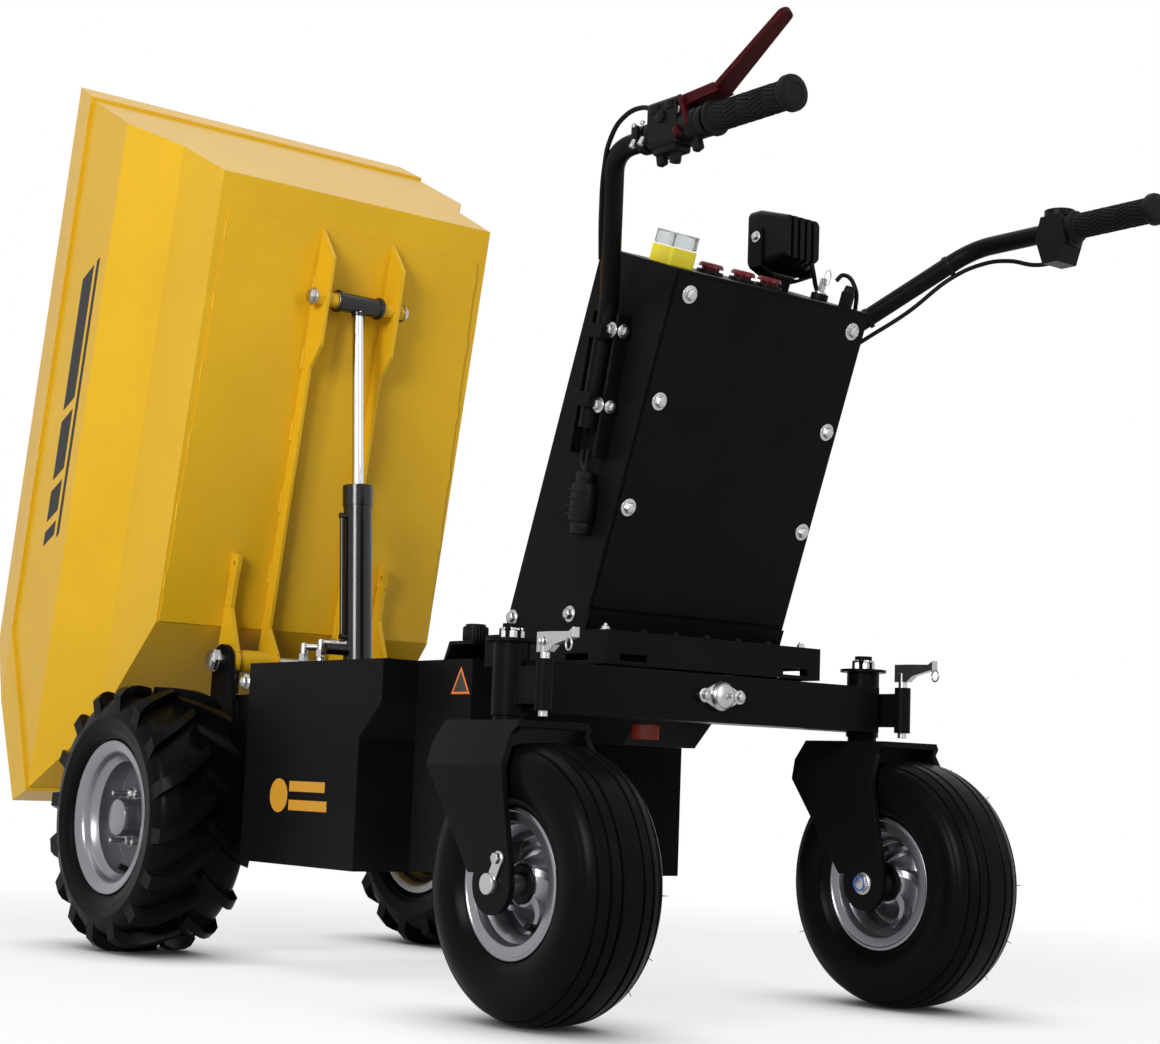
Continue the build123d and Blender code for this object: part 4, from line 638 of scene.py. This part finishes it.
# ---------------------------------------------------------------- tray
# Folded tray that carries the console, screwed from above along its rear edge; a small red
# reflector is stuck on the beam's neck below it.
bm = bmesh.new()
for y in (-0.172, 0.172):
    hex_bolt(bm, at(-0.966, y, 0.4762), (0, 0, 1), 0.0050, 0.0044, stud=0.003)
for side in (1, -1):
    for x in (-0.771, -0.893):
        hex_bolt(bm, at(x, side * 0.1722, 0.4995), (0, side, 0), 0.0072, 0.0062)
piece("tray_fasteners", bm, "chassis", zinc)
bm = bmesh.new()
for y in (-0.110, -0.055, 0.0, 0.055, 0.110):
    hex_bolt(bm, at(-0.966, y, 0.4762), (0, 0, 1), 0.0042, 0.0034, washer=1.35)
piece("tray_black_screws", bm, "chassis", black_frame)
reflector_red = finish_of("reflector_red", (0.30, 0.022, 0.006), (0.24, 0.016, 0.005), 0.25, shine=0.2,
                          edge=(0.0, (0.4, 0.1, 0.1)), dust=0.03)
bm = bmesh.new()
block(bm, at(-0.9245, 0.0650, 0.3530), (0.052, 0.003, 0.020), 0.0010)
piece("side_reflector", bm, "chassis", reflector_red)

# ---------------------------------------------------------------- console
# Leaning box of folded sheet on the tray.  A flat back plate closes it, held by six screws with
# washers; the deck carries a guarded switch, three low caps, a key socket and the work lamp.
lean = radians(19.87)
console_up = Vector((-sin(lean), 0, cos(lean)))
console_back = Vector((-cos(lean), 0, -sin(lean)))
console_foot = at(-0.7645, 0.0, 0.5125)


def on_console(back, up, y):
    """A place on the console, counted back from its front foot and up along its lean."""
    return console_foot + console_back * back + console_up * up + Vector((0, y, 0))


bm = bmesh.new()
for up, half in ((0.187, 0.154), (0.327, 0.149), (0.466, 0.145)):
    for side in (1, -1):
        hex_bolt(bm, on_console(0.1622, up, side * half), console_back, 0.0078, 0.0060, turn=up * 9)
piece("panel_screws", bm, "chassis", zinc)

# Guarded switch: a bright yellow moulded seat with a clear hinged lid over a black rocker.
guard_yellow = finish_of("guard_yellow", (0.88, 0.74, 0.012), (0.84, 0.69, 0.012), 0.30, dust=0.0,
                         edge=(0.0, (0.8, 0.7, 0.2)), grain=(900.0, 0.03))
dress("guard_yellow", guard_yellow)
clear_lid, lid_tree, lid_shader, lid_coords = new_material("clear_lid")
lid_shader.inputs["Base Color"].default_value = (0.80, 0.83, 0.84, 1.0)
lid_shader.inputs["Transmission Weight"].default_value = 0.92
lid_shader.inputs["IOR"].default_value = 1.30
lid_level = ramp(lid_tree, noise(lid_tree, lid_coords, 60.0), -1.0, 9.0)
lid_tree.links.new(lid_level, lid_shader.inputs["Roughness"])
bm = bmesh.new()
lid_middle, lid_turn = at(-1.0196, 0.120, 0.9800), Matrix.Rotation(-lean, 4, "Y")
for shift, size in (((0.0, 0.0, 0.0087), (0.039, 0.040, 0.0018)),
                    ((0.0186, 0.0, 0.0), (0.0018, 0.040, 0.017)),
                    ((-0.0186, 0.0, 0.0), (0.0018, 0.040, 0.017)),
                    ((0.0, 0.0191, 0.0), (0.039, 0.0018, 0.017)),
                    ((0.0, -0.0191, 0.0), (0.039, 0.0018, 0.017))):
    block(bm, lid_middle + lid_turn @ Vector(shift), size, 0.0005, lid_turn)
piece("switch_lid_clear", bm, "chassis", clear_lid, "switch_lid", slot="clear_lid")

# Low push caps of dark red plastic in black rings, and the key socket with its split ring.
cap_red = finish_of("cap_red", (0.13, 0.006, 0.008), (0.10, 0.005, 0.006), 0.30, shine=0.2,
                    edge=(0.0, (0.2, 0.05, 0.05)), dust=0.03)
red_bm, ring_bm, key_bm = bmesh.new(), bmesh.new(), bmesh.new()
for y in (0.053, -0.004, -0.052):
    place = on_console(0.081, 0.4945, y)
    rod(ring_bm, place, console_up, 0.0180, 0.0045, 44, soft=0.0012)
    rod(red_bm, place + console_up * 0.0045, console_up, 0.0120, 0.0045, 36)
    rod(red_bm, place + console_up * 0.0080, console_up, 0.0172, 0.0060, 44, tip=0.0150, soft=0.0024)
place = on_console(0.081, 0.4945, -0.148)
rod(ring_bm, place, console_up, 0.0120, 0.0090, 32, soft=0.0016)
rod(ring_bm, on_console(0.132, 0.4945, -0.150), console_up, 0.0095, 0.0200, 6)
rod(ring_bm, on_console(0.132, 0.5135, -0.150), console_up, 0.0080, 0.0100, 28, tip=0.0060, soft=0.001)
rod(key_bm, place + console_up * 0.0090, console_up, 0.0080, 0.0025, 28, soft=0.0008)
block(key_bm, place + console_up * 0.0200, (0.0016, 0.012, 0.020), 0.0006, lid_turn)
ring = [(0.0105 + 0.0007 * cos(a * pi / 4), 0.0007 * sin(a * pi / 4)) for a in range(8)]
spun(key_bm, ring, place + console_up * 0.0320 + Vector((0.0, -0.006, 0.0)), (0.9, 0.4, 0.2), 32)
piece("push_caps", red_bm, "chassis", cap_red, "control_caps", slot="cap_red")
piece("cap_rings", ring_bm, "chassis", black_plastic)
piece("key_and_ring", key_bm, "chassis", zinc)

# ---------------------------------------------------------------- work lamp
# Finned cast housing with a clear lens over a bright dish of six small emitters, clamped in its
# yoke by a screw on each side; its lead runs down into the deck.
lamp_middle = at(-0.985, -0.109, 1.027)
bm = bmesh.new()
block(bm, lamp_middle + Vector((0.0285, 0, 0)), (0.004, 0.082, 0.074), 0.0018)
piece("lamp_lens", bm, "chassis", clear_lid)
lamp_dish = finish_of("lamp_dish", (0.70, 0.70, 0.70), (0.62, 0.62, 0.62), 0.15, metallic=1.0, dust=0.0,
                      edge=(0.0, (0.7, 0.7, 0.7)))
lamp_chip = finish_of("lamp_chip", (0.80, 0.62, 0.10), (0.76, 0.58, 0.10), 0.4, dust=0.0,
                      edge=(0.0, (0.7, 0.7, 0.7)))
bm = bmesh.new()
chips = bmesh.new()
for row in (-1, 1):
    for column in (-1, 0, 1):
        place = lamp_middle + Vector((0.0242, column * 0.025, row * 0.017))
        spun(bm, [(0.0030, 0.0), (0.0115, 0.0020), (0.0118, 0.0014), (0.0030, -0.0008)], place, (1, 0, 0), 32)
        rod(chips, place, (1, 0, 0), 0.0030, 0.0008, 16)
piece("lamp_dishes", bm, "chassis", lamp_dish)
piece("lamp_chips", chips, "chassis", lamp_chip)
bm = bmesh.new()
for side in (1, -1):
    hex_bolt(bm, lamp_middle + Vector((0.009, side * 0.0492, 0.0)), (0, side, 0), 0.0052, 0.0042)
hex_bolt(bm, at(-0.974, -0.109, 0.9690), console_up, 0.0062, 0.0050)
piece("lamp_screws", bm, "chassis", zinc)


def lead(name, body, material, radius, points, sides=10):
    """A cable fixed along its whole way: a smooth tube through the points."""
    curve = bpy.data.curves.new(name, "CURVE")
    curve.dimensions = "3D"
    spline = curve.splines.new("BEZIER")
    spline.bezier_points.add(len(points) - 1)
    for knot, place in zip(spline.bezier_points, points):
        knot.co = place
        knot.handle_left_type = knot.handle_right_type = "AUTO"
    curve.resolution_u = 10
    curve.bevel_depth = radius
    curve.bevel_resolution = sides // 2 - 1
    curve.use_fill_caps = True
    shaped = bpy.data.objects.new(name + "_way", curve)
    scene.collection.objects.link(shaped)
    bpy.context.view_layer.update()
    mesh = bpy.data.meshes.new_from_object(shaped.evaluated_get(bpy.context.evaluated_depsgraph_get()))
    bpy.data.objects.remove(shaped)
    bm = bmesh.new()
    bm.from_mesh(mesh)
    bpy.data.meshes.remove(mesh)
    bmesh.ops.remove_doubles(bm, verts=bm.verts, dist=1e-6)
    return piece(name, bm, body, material)


cable_black = finish_of("cable_black", (0.0036, 0.0036, 0.0036), (0.005, 0.005, 0.005), 0.40, shine=0.08,
                        edge=(0.0, (0.05, 0.05, 0.05)), dust=0.02, grain=(900.0, 0.03))
lead("lamp_lead", "chassis", cable_black, 0.0032,
     [lamp_middle + Vector((-0.028, -0.020, -0.030)), at(-1.012, -0.134, 0.984), at(-1.006, -0.146, 0.966),
      at(-1.010, -0.150, 0.950)])
lead("deck_lead", "chassis", cable_black, 0.0030,
     [at(-1.040, -0.150, 0.972), at(-1.046, -0.158, 0.980), at(-1.058, -0.168, 0.962),
      at(-1.052, -0.175, 0.930)])

# ---------------------------------------------------------------- handlebars
# Bent steel tubes in folded channels screwed to the console's sides; zinc screws stand on the
# channels' flanges and webs, and a bead runs down each channel's edge.
bar_foot, bar_knee = Vector((-0.938, 0.190, 0.735)), Vector((-0.973, 0.190, 0.894))
bar_way = (bar_knee - bar_foot).normalized()
bar_across = Vector((-bar_way.z, 0, bar_way.x))
bm = bmesh.new()
for side in (1, -1):
    for up in (0.031, 0.128):
        on_bar = bar_foot + bar_way * up
        for across, lift in ((-0.0385, 0.1722), (0.0205, 0.1945)):
            place = on_bar + bar_across * across
            hex_bolt(bm, at(place.x, side * lift, place.z), (0, side, 0), 0.0066, 0.0058, turn=up * 20)
        place = on_bar + bar_across * 0.0298
        hex_bolt(bm, at(place.x, side * 0.1840, place.z), bar_across, 0.0060, 0.0056)
piece("bracket_screws", bm, "chassis", zinc)

# Moulded rubber grips: a flange at each end and short slanting ribs all round between them.
grip_rubber = finish_of("grip_rubber", (0.0040, 0.0040, 0.0043), (0.0056, 0.0056, 0.0059), 0.55, shine=0.08,
                        grain=(900.0, 0.30), edge=(0.0, (0.05, 0.05, 0.05)), dust=0.04,
                        dust_colour=(0.08, 0.08, 0.08))
dress("grip_rubber", grip_rubber)
rib_count = 20
for side in (1, -1):
    hand = "left" if side > 0 else "right"
    start = at(-1.307, side * 0.320, 1.0304)
    bm = bmesh.new()
    grip = [(0.0126, 0.0), (0.0198, 0.0), (0.0208, 0.0012), (0.0208, 0.0042), (0.0190, 0.0056),
            (0.0160, 0.0066), (0.0153, 0.0090), (0.0153, 0.1130), (0.0165, 0.1165), (0.0196, 0.1190),
            (0.0206, 0.1210),
            (0.0206, 0.1262), (0.0196, 0.1292), (0.0160, 0.1314), (0.0100, 0.1320), (0.0100, 0.1270),
            (0.0126, 0.1270)]
    spun(bm, grip, start, (-1, 0, 0), 72)
    rod(bm, start + Vector((-0.1265, 0, 0)), (-1, 0, 0), 0.0105, 0.0046, 36)
    for k in range(rib_count):
        for band in range(5):
            turned = Matrix.Rotation(2 * pi * (k + 0.5 * (band % 2)) / rib_count, 4, "X")
            place = start + Vector((-0.0200 - 0.0210 * band, 0, 0)) + turned @ Vector((0, 0, 0.0157))
            slant = turned @ Matrix.Rotation(radians(14 if band % 2 else -14), 4, "Z")
            block(bm, place, (0.0190, 0.0022, 0.0022), 0.0006, slant)
    piece(f"grip_{hand}_ribbed", bm, "chassis", grip_rubber, f"grip_{hand}", slot="grip_rubber")

# ---------------------------------------------------------------- brake lever and switches
# Dark red lever with a rolled edge on a black clamp, the edge tinted bright red as a painted highlight;
# the clamp's two bands have plated screws, and a switch with two short toggles hangs under the bar.
lever_red = finish_of("lever_red", (0.036, 0.0025, 0.0035), (0.028, 0.002, 0.003), 0.36, shine=0.05,
                      edge=(0.6, (0.42, 0.04, 0.06)), dust=0.01)
dress("lever_red", lever_red)
bm = bmesh.new()
bar_z = 1.0304
spun(bm, [(0.0127, -0.006), (0.0170, -0.006), (0.0175, -0.005), (0.0175, 0.005), (0.0170, 0.006),
          (0.0127, 0.006)], at(-1.193, 0.320, bar_z), (1, 0, 0), 48)
for x, width in ((-1.279, 0.022), (-1.296, 0.010)):
    spun(bm, [(0.0127, -width / 2), (0.0180, -width / 2), (0.0186, 0.001 - width / 2),
              (0.0186, width / 2 - 0.001), (0.0180, width / 2), (0.0127, width / 2)],
         at(x, 0.320, bar_z), (1, 0, 0), 48)
block(bm, at(-1.193, 0.3392, bar_z + 0.002), (0.011, 0.005, 0.020), 0.0012)
block(bm, at(-1.236, 0.320, bar_z - 0.0215), (0.040, 0.026, 0.012), 0.0030)
for x, drop, tilt_by in ((-1.222, 0.034, 12), (-1.246, 0.036, -10), (-1.283, 0.029, 18)):
    block(bm, at(x, 0.322, bar_z - drop + 0.004), (0.012, 0.010, 0.016), 0.0022,
          Matrix.Rotation(radians(tilt_by), 4, "Y"))
rod(bm, at(-1.237, 0.3385, 1.044), (0, 1, 0), 0.0070, 0.0030, 28, soft=0.0008)
block(bm, at(-1.224, 0.3386, 1.0560), (0.018, 0.0018, 0.010), 0.0006)
block(bm, at(-1.250, 0.3386, 1.0560), (0.012, 0.0018, 0.010), 0.0006)
piece("brake_clamp", bm, "chassis", black_plastic)
bm = bmesh.new()
for x in (-1.193, -1.208):
    rod(bm, at(x, 0.3395, bar_z - 0.006), (0, 0.6, -1.0), 0.0036, 0.0100, 20, soft=0.0008)
    rod(bm, at(x, 0.3405, bar_z + 0.012), (0, 0.9, 0.3), 0.0030, 0.0030, 20, soft=0.0008)
rod(bm, at(-1.2600, 0.3300, 1.0480), (0, 1, 0), 0.0058, 0.0060, 6)
piece("clamp_screws", bm, "chassis", zinc)
bm = bmesh.new()
block(bm, at(-1.2745, 0.3330, 1.0440), (0.0060, 0.0130, 0.0420), 0.0018, Matrix.Rotation(radians(24), 4, "Y"))
block(bm, at(-1.2640, 0.3355, 1.0220), (0.0100, 0.0100, 0.0120), 0.0020, Matrix.Rotation(radians(24), 4, "Y"))
piece("lever_root", bm, "chassis", lever_red)
lead("brake_lead", "chassis", cable_black, 0.0030,
     [at(-1.214, 0.328, 1.058), at(-1.196, 0.331, 1.066), at(-1.160, 0.333, 1.060), at(-1.135, 0.330, 1.040),
      at(-1.112, 0.318, 1.018), at(-1.060, 0.279, 0.975), at(-1.010, 0.237, 0.936)])

# ---------------------------------------------------------------- drive control
# Thumb throttle pod under the right grip with a domed cap; its lead is tied under the bar.
bm = bmesh.new()
pod_x = -1.281
rod(bm, at(pod_x, -0.320, 1.0500), (0, 0, 1), 0.0190, 0.0050, 40, soft=0.0014)
spun(bm, [(0.0127, -0.014), (0.0170, -0.014), (0.0180, -0.012), (0.0180, 0.012), (0.0170, 0.014),
          (0.0127, 0.014)], at(pod_x - 0.012, -0.320, bar_z), (1, 0, 0), 48)
block(bm, at(pod_x - 0.019, -0.3225, bar_z - 0.020), (0.016, 0.022, 0.010), 0.0024)
for x, y in ((-1.104, -0.2985), (-1.020, -0.2300)):
    tie = at(x, y, 0.0) + Vector((0, 0, 1.0065 if x < -1.1 else 0.9345))
    rod(bm, tie, (-0.65, -0.55, 0.53), 0.0146, 0.006, 28)
piece("control_trim", bm, "chassis", black_plastic)
lead("control_lead", "chassis", cable_black, 0.0030,
     [at(-1.268, -0.326, 0.990), at(-1.235, -0.327, 0.993), at(-1.190, -0.326, 1.006),
      at(-1.150, -0.322, 1.008), at(-1.112, -0.306, 0.994), at(-1.060, -0.268, 0.944),
      at(-1.020, -0.228, 0.906), at(-0.985, -0.196, 0.874)])

# Two leads leave the left channel's foot for a rubber-booted connector on the console's side.
for k, x in enumerate((-0.9290, -0.9395)):
    lead(f"console_lead_{k}", "chassis", cable_black, 0.0032,
         [at(x, 0.188, 0.708), at(x + 0.004, 0.187, 0.694), at(-0.9290 - 0.003 * k, 0.185, 0.680),
          at(-0.9280 - 0.003 * k, 0.184, 0.664)])
bm = bmesh.new()
connector = Matrix.Rotation(radians(-8), 4, "Y")
block(bm, at(-0.926, 0.1840, 0.640), (0.034, 0.022, 0.052), 0.0060, connector)
block(bm, at(-0.929, 0.1835, 0.672), (0.024, 0.018, 0.018), 0.0050, connector)
block(bm, at(-0.922, 0.1830, 0.608), (0.028, 0.018, 0.018), 0.0050, connector)
for k in range(4):
    block(bm, at(-0.9262 + 0.0012 * k, 0.1845, 0.655 - 0.010 * k), (0.0352, 0.0232, 0.0022), 0.0008,
          connector)
piece("side_connector", bm, "chassis", black_plastic)

# ---------------------------------------------------------------- skip
# Welded steel pan, painted a warm golden yellow with a satin gloss.  The floor's doubler, ribs and
# hinge eyes are welded on with short beads, and the coat is rubbed on its folded edges.
skip_paint = finish_of("skip_paint", (0.70, 0.405, 0.012), (0.655, 0.375, 0.011), 0.34, spread=0.08,
                       coat=0.05, shine=0.20, grain=(1000.0, 0.08), wave=(7.0, 0.07),
                       edge=(0.10, (0.40, 0.25, 0.08)), dust=0.05, dust_colour=(0.55, 0.40, 0.20))
dress("skip_paint", skip_paint)
skip_tilt = radians(10.9)
skip_along = Vector((sin(skip_tilt), 0, -cos(skip_tilt)))
skip_in = Vector((cos(skip_tilt), 0, sin(skip_tilt)))


def on_skip(a, v, y):
    """A place on the raised skip, counted from its rear wall along the floor and up from the floor."""
    return at(0.030, y, 0.460) + skip_along * (a - 0.784) + skip_in * (v + 0.045)


bm = bmesh.new()
for side in (1, -1):
    for k in range(5):
        a = 0.140 + 0.120 * k
        rib_y = side * 0.0725
        weld(bm, on_skip(a, -0.0040, rib_y), on_skip(a + 0.036, -0.0040, rib_y), 0.0028, seed=k)
    weld(bm, on_skip(0.640, -0.0040, side * 0.1445), on_skip(0.700, -0.0040, side * 0.1445), 0.0028, seed=8)
    for k in range(6):
        a = 0.080 + 0.115 * k
        edge_y = side * (0.2470 + 0.0160 * (a - 0.057) / 0.676)
        weld(bm, on_skip(a, -0.0012, edge_y), on_skip(a + 0.030, -0.0012, edge_y), 0.0022, seed=20 + k)
piece("skip_welds", bm, "skip", skip_paint)

# Plain black bars on the left flank, cut from thin film with slanted ends, with nothing on them.
decal_black = finish_of("decal_black", (0.010, 0.011, 0.013), (0.013, 0.014, 0.017), 0.42, shine=0.15,
                        edge=(0.0, (0.1, 0.1, 0.1)), grain=(900.0, 0.02), dust=0.03)
bm = bmesh.new()
for a, length, v, width in ((0.170, 0.470, 0.2520, 0.009), (0.170, 0.225, 0.2850, 0.036),
                            (0.415, 0.100, 0.2850, 0.036), (0.535, 0.052, 0.2850, 0.036),
                            (0.605, 0.024, 0.2850, 0.036)):
    made = bmesh.ops.create_cube(bm, size=1.0, matrix=Matrix.Translation((a + length / 2, v, 0.0))
                                 @ Matrix.Diagonal((length, width, 0.0006, 1.0)))
    for vert in made["verts"]:
        a_to = vert.co.x + (vert.co.y - 0.262) * 0.7
        side_y = 0.3405 - 0.0020 * (vert.co.y - 0.218) / 0.153
        vert.co = on_skip(a_to, vert.co.y, side_y + 0.0002 + vert.co.z)
piece("flank_bars", bm, "skip", decal_black)

# ---------------------------------------------------------------- tipping shaft and bosses
# Plated bolts through the hinge eyes and the ram's bosses, with large washers.
bm = bmesh.new()
for side in (1, -1):
    hex_bolt(bm, at(0.030, side * 0.1745, 0.460), (0, side, 0), 0.0165, 0.0075, washer=1.12)
    hex_bolt(bm, at(-0.2070, side * 0.2482, 0.4170), (0, side, 0), 0.0082, 0.0066)
piece("hinge_bolts", bm, "chassis", zinc)
bm = bmesh.new()
boss = on_skip(0.173, -0.033, 0.0)
for side in (1, -1):
    hex_bolt(bm, boss + Vector((0, side * 0.0865, 0)), (0, side, 0), 0.0125, 0.0075, washer=1.2)
piece("boss_bolts", bm, "skip", zinc)

# ---------------------------------------------------------------- ram
# Chromed rod in a black enamelled barrel; the rod's cross tube is black too.  Two plated elbows
# and short hoses feed the barrel's foot.
hard_chrome = finish_of("hard_chrome", (0.72, 0.72, 0.74), (0.66, 0.66, 0.68), 0.10, spread=0.05,
                        metallic=1.0, grain=(500.0, 0.01), edge=(0.0, (0.7, 0.7, 0.7)), dust=0.0)
dress("hard_chrome", hard_chrome)
# grey on the edges: rubbed wear with a painted edge highlight
barrel_enamel = finish_of("barrel_enamel", (0.0050, 0.0050, 0.0054), (0.007, 0.007, 0.0074), 0.16,
                          spread=0.06, shine=0.35, coat=0.10, grain=(900.0, 0.03),
                          edge=(0.2, (0.08, 0.08, 0.08)), dust=0.02)
frame["nodes"]["ram_barrel"].data.materials.clear()
frame["nodes"]["ram_barrel"].data.materials.append(barrel_enamel)
bm = bmesh.new()
spun(bm, [(0.0151, -0.0430), (0.0160, -0.0425), (0.0160, 0.0425), (0.0151, 0.0430)], boss, (0, 1, 0), 48)
rod(bm, boss - Vector((0.0012, 0, 0.0140)), Vector((-0.0880, 0, -1.0)), 0.0112, 0.0070, 28, soft=0.001)
for side in (1, -1):
    spun(bm, [(0.0151, -0.0030), (0.0185, -0.0030), (0.0190, 0.0), (0.0185, 0.0030), (0.0151, 0.0030)],
         boss + Vector((0, side * 0.0400, 0)), (0, 1, 0), 40)
piece("rod_cross_tube", bm, "ram_rod", barrel_enamel)
bm = bmesh.new()
ram_ports = ((-0.0840, 0.076, 0.492), (-0.1030, 0.056, 0.499))
for x, y, top in ram_ports:
    foot = at(x, y, top - 0.044)
    rod(bm, foot, (0, 0, 1), 0.0068, 0.014, 20, soft=0.001)
    rod(bm, foot + Vector((0, 0, 0.014)), (0, 0, 1), 0.0084, 0.012, 6)
    rod(bm, foot + Vector((0, 0, 0.026)), (0, 0, 1), 0.0064, 0.018, 24, soft=0.003)
    into = at(-0.124, 0.018, top - 0.006) - (foot + Vector((0, 0, 0.037)))
    rod(bm, foot + Vector((0, 0, 0.037)), into, 0.0058, into.length, 24)
    rod(bm, foot + Vector((0, 0, 0.037)) + into * 0.30, into, 0.0078, 0.010, 6)
piece("ram_elbows", bm, "ram_barrel", zinc)
for k, (x, y, top) in enumerate(ram_ports):
    lead(f"ram_hose_{k}", "ram_barrel", cable_black, 0.0062,
         [at(x, y, top - 0.042), at(x - 0.002, y, 0.415), at(x - 0.020, y - 0.004, 0.372),
          at(-0.132, y - 0.010, 0.330)])

# ---------------------------------------------------------------- studio
# White cove and floor with soft boxes.  Past the machine the floor turns plain white to the eye; near it
# the floor keeps the soft shadow, and its glow is darkened to a painted contact shadow where the machine stands
# close above.
world = bpy.data.worlds.new("studio")
scene.world = world
world.use_nodes = True
sky = world.node_tree
surround = sky.nodes["Background"]
surround.inputs["Color"].default_value = (1.0, 1.0, 1.0, 1.0)
surround.inputs["Strength"].default_value = 1.0
dim = sky.nodes.new("ShaderNodeBackground")
dim.inputs["Color"].default_value = (0.9, 0.95, 1.0, 1.0)
dim.inputs["Strength"].default_value = 0.30
rays = sky.nodes.new("ShaderNodeLightPath")
direct = maths(sky, "ADD", rays.outputs["Is Camera Ray"], rays.outputs["Is Glossy Ray"], clamp=True)
direct = maths(sky, "ADD", direct, rays.outputs["Is Transmission Ray"], clamp=True)
seen = sky.nodes.new("ShaderNodeMixShader")
sky.links.new(direct, seen.inputs["Fac"])
sky.links.new(dim.outputs["Background"], seen.inputs[1])
sky.links.new(surround.outputs["Background"], seen.inputs[2])
sky.links.new(seen.outputs["Shader"], sky.nodes["World Output"].inputs["Surface"])

floor_half = 14.0
bm = bmesh.new()
bmesh.ops.create_grid(bm, x_segments=2, y_segments=2, size=floor_half)
floor_mesh = bpy.data.meshes.new("studio_floor")
bm.to_mesh(floor_mesh)
bm.free()
studio_floor = bpy.data.objects.new("studio_floor", floor_mesh)
scene.collection.objects.link(studio_floor)
floor_white, floor_tree, floor_shader, floor_coords = new_material("studio_floor")
floor_tone = mix_colours(floor_tree, noise(floor_tree, floor_coords, 2.0), (0.94, 0.94, 0.94),
                         (0.96, 0.96, 0.96))
floor_tree.links.new(floor_tone, floor_shader.inputs["Base Color"])
floor_shader.inputs["Roughness"].default_value = 0.9
floor_shader.inputs["Specular IOR Level"].default_value = 0.05
floor_glow = floor_tree.nodes.new("ShaderNodeEmission")
# painted contact shadow: the floor's white glow turns near black where ambient occlusion finds the machine close
# above
floor_painted_shadow = floor_tree.nodes.new("ShaderNodeAmbientOcclusion")
floor_painted_shadow.samples = 12
floor_painted_shadow.inputs["Distance"].default_value = 0.16
floor_tree.links.new(mix_colours(floor_tree, ramp(floor_tree, floor_painted_shadow.outputs["AO"], 0.25, 0.94),
                                 (0.02, 0.02, 0.02), (1.0, 1.0, 1.0)), floor_glow.inputs["Color"])
floor_rays = floor_tree.nodes.new("ShaderNodeLightPath")
floor_way = floor_tree.nodes.new("ShaderNodeVectorMath")
floor_way.operation = "LENGTH"
floor_tree.links.new(floor_coords, floor_way.inputs[0])
floor_far = ramp(floor_tree, floor_way.outputs["Value"], 1.1, 2.2)
floor_far = maths(floor_tree, "ADD", maths(floor_tree, "MULTIPLY", floor_far, 0.25), 0.75)
floor_seen = maths(floor_tree, "ADD", floor_rays.outputs["Is Camera Ray"],
                   floor_rays.outputs["Is Glossy Ray"], clamp=True)
floor_seen = maths(floor_tree, "ADD", floor_seen, floor_rays.outputs["Is Transmission Ray"], clamp=True)
floor_fac = maths(floor_tree, "MULTIPLY", floor_far, floor_seen)
floor_mix = floor_tree.nodes.new("ShaderNodeMixShader")
floor_tree.links.new(floor_fac, floor_mix.inputs["Fac"])
floor_tree.links.new(floor_shader.outputs["BSDF"], floor_mix.inputs[1])
floor_tree.links.new(floor_glow.outputs["Emission"], floor_mix.inputs[2])
floor_tree.links.new(floor_mix.outputs["Shader"], floor_tree.nodes["Material Output"].inputs["Surface"])
floor_mesh.materials.append(floor_white)


def soft_box(name, place, aim, size, power):
    """A rectangular soft box that looks at a point."""
    data = bpy.data.lights.new(name, "AREA")
    data.shape = "RECTANGLE"
    data.size, data.size_y = size
    data.energy = power
    lamp = bpy.data.objects.new(name, data)
    lamp.location = place
    lamp.rotation_euler = (Vector(aim) - Vector(place)).to_track_quat("-Z", "Y").to_euler()
    scene.collection.objects.link(lamp)


middle = Vector((-0.2, 0.0, 0.6))
soft_box("key", (-2.1, 3.9, 1.9), middle, (1.6, 1.6), 150.0)
soft_box("rear_strip", (-3.8, -0.6, 1.8), middle, (0.4, 2.2), 30.0)
soft_box("overhead", (0.0, 0.2, 3.4), middle, (3.0, 1.6), 8.0)
soft_box("floor_wash", (0.0, 0.0, 3.2), (0.0, 0.0, 0.0), (3.4, 2.6), 20.0)

# ---------------------------------------------------------------- camera
view_yaw = radians(-38.51)
view_pitch = radians(7.0)
view_roll = radians(2.12)
camera = bpy.data.objects.new("camera", bpy.data.cameras.new("camera"))
look = Vector((cos(view_yaw) * cos(view_pitch), sin(view_yaw) * cos(view_pitch), sin(view_pitch)))
camera.rotation_mode = "QUATERNION"
camera.rotation_quaternion = look.to_track_quat("-Z", "Y") @ Quaternion((0, 0, 1), view_roll)
camera.location = (-2.5652, 1.8590, 0.2853)
camera.data.sensor_width = 36.0
camera.data.lens = 65.68
camera.data.clip_start = 0.05
scene.collection.objects.link(camera)
scene.camera = camera
scene.view_settings.view_transform = "Standard"
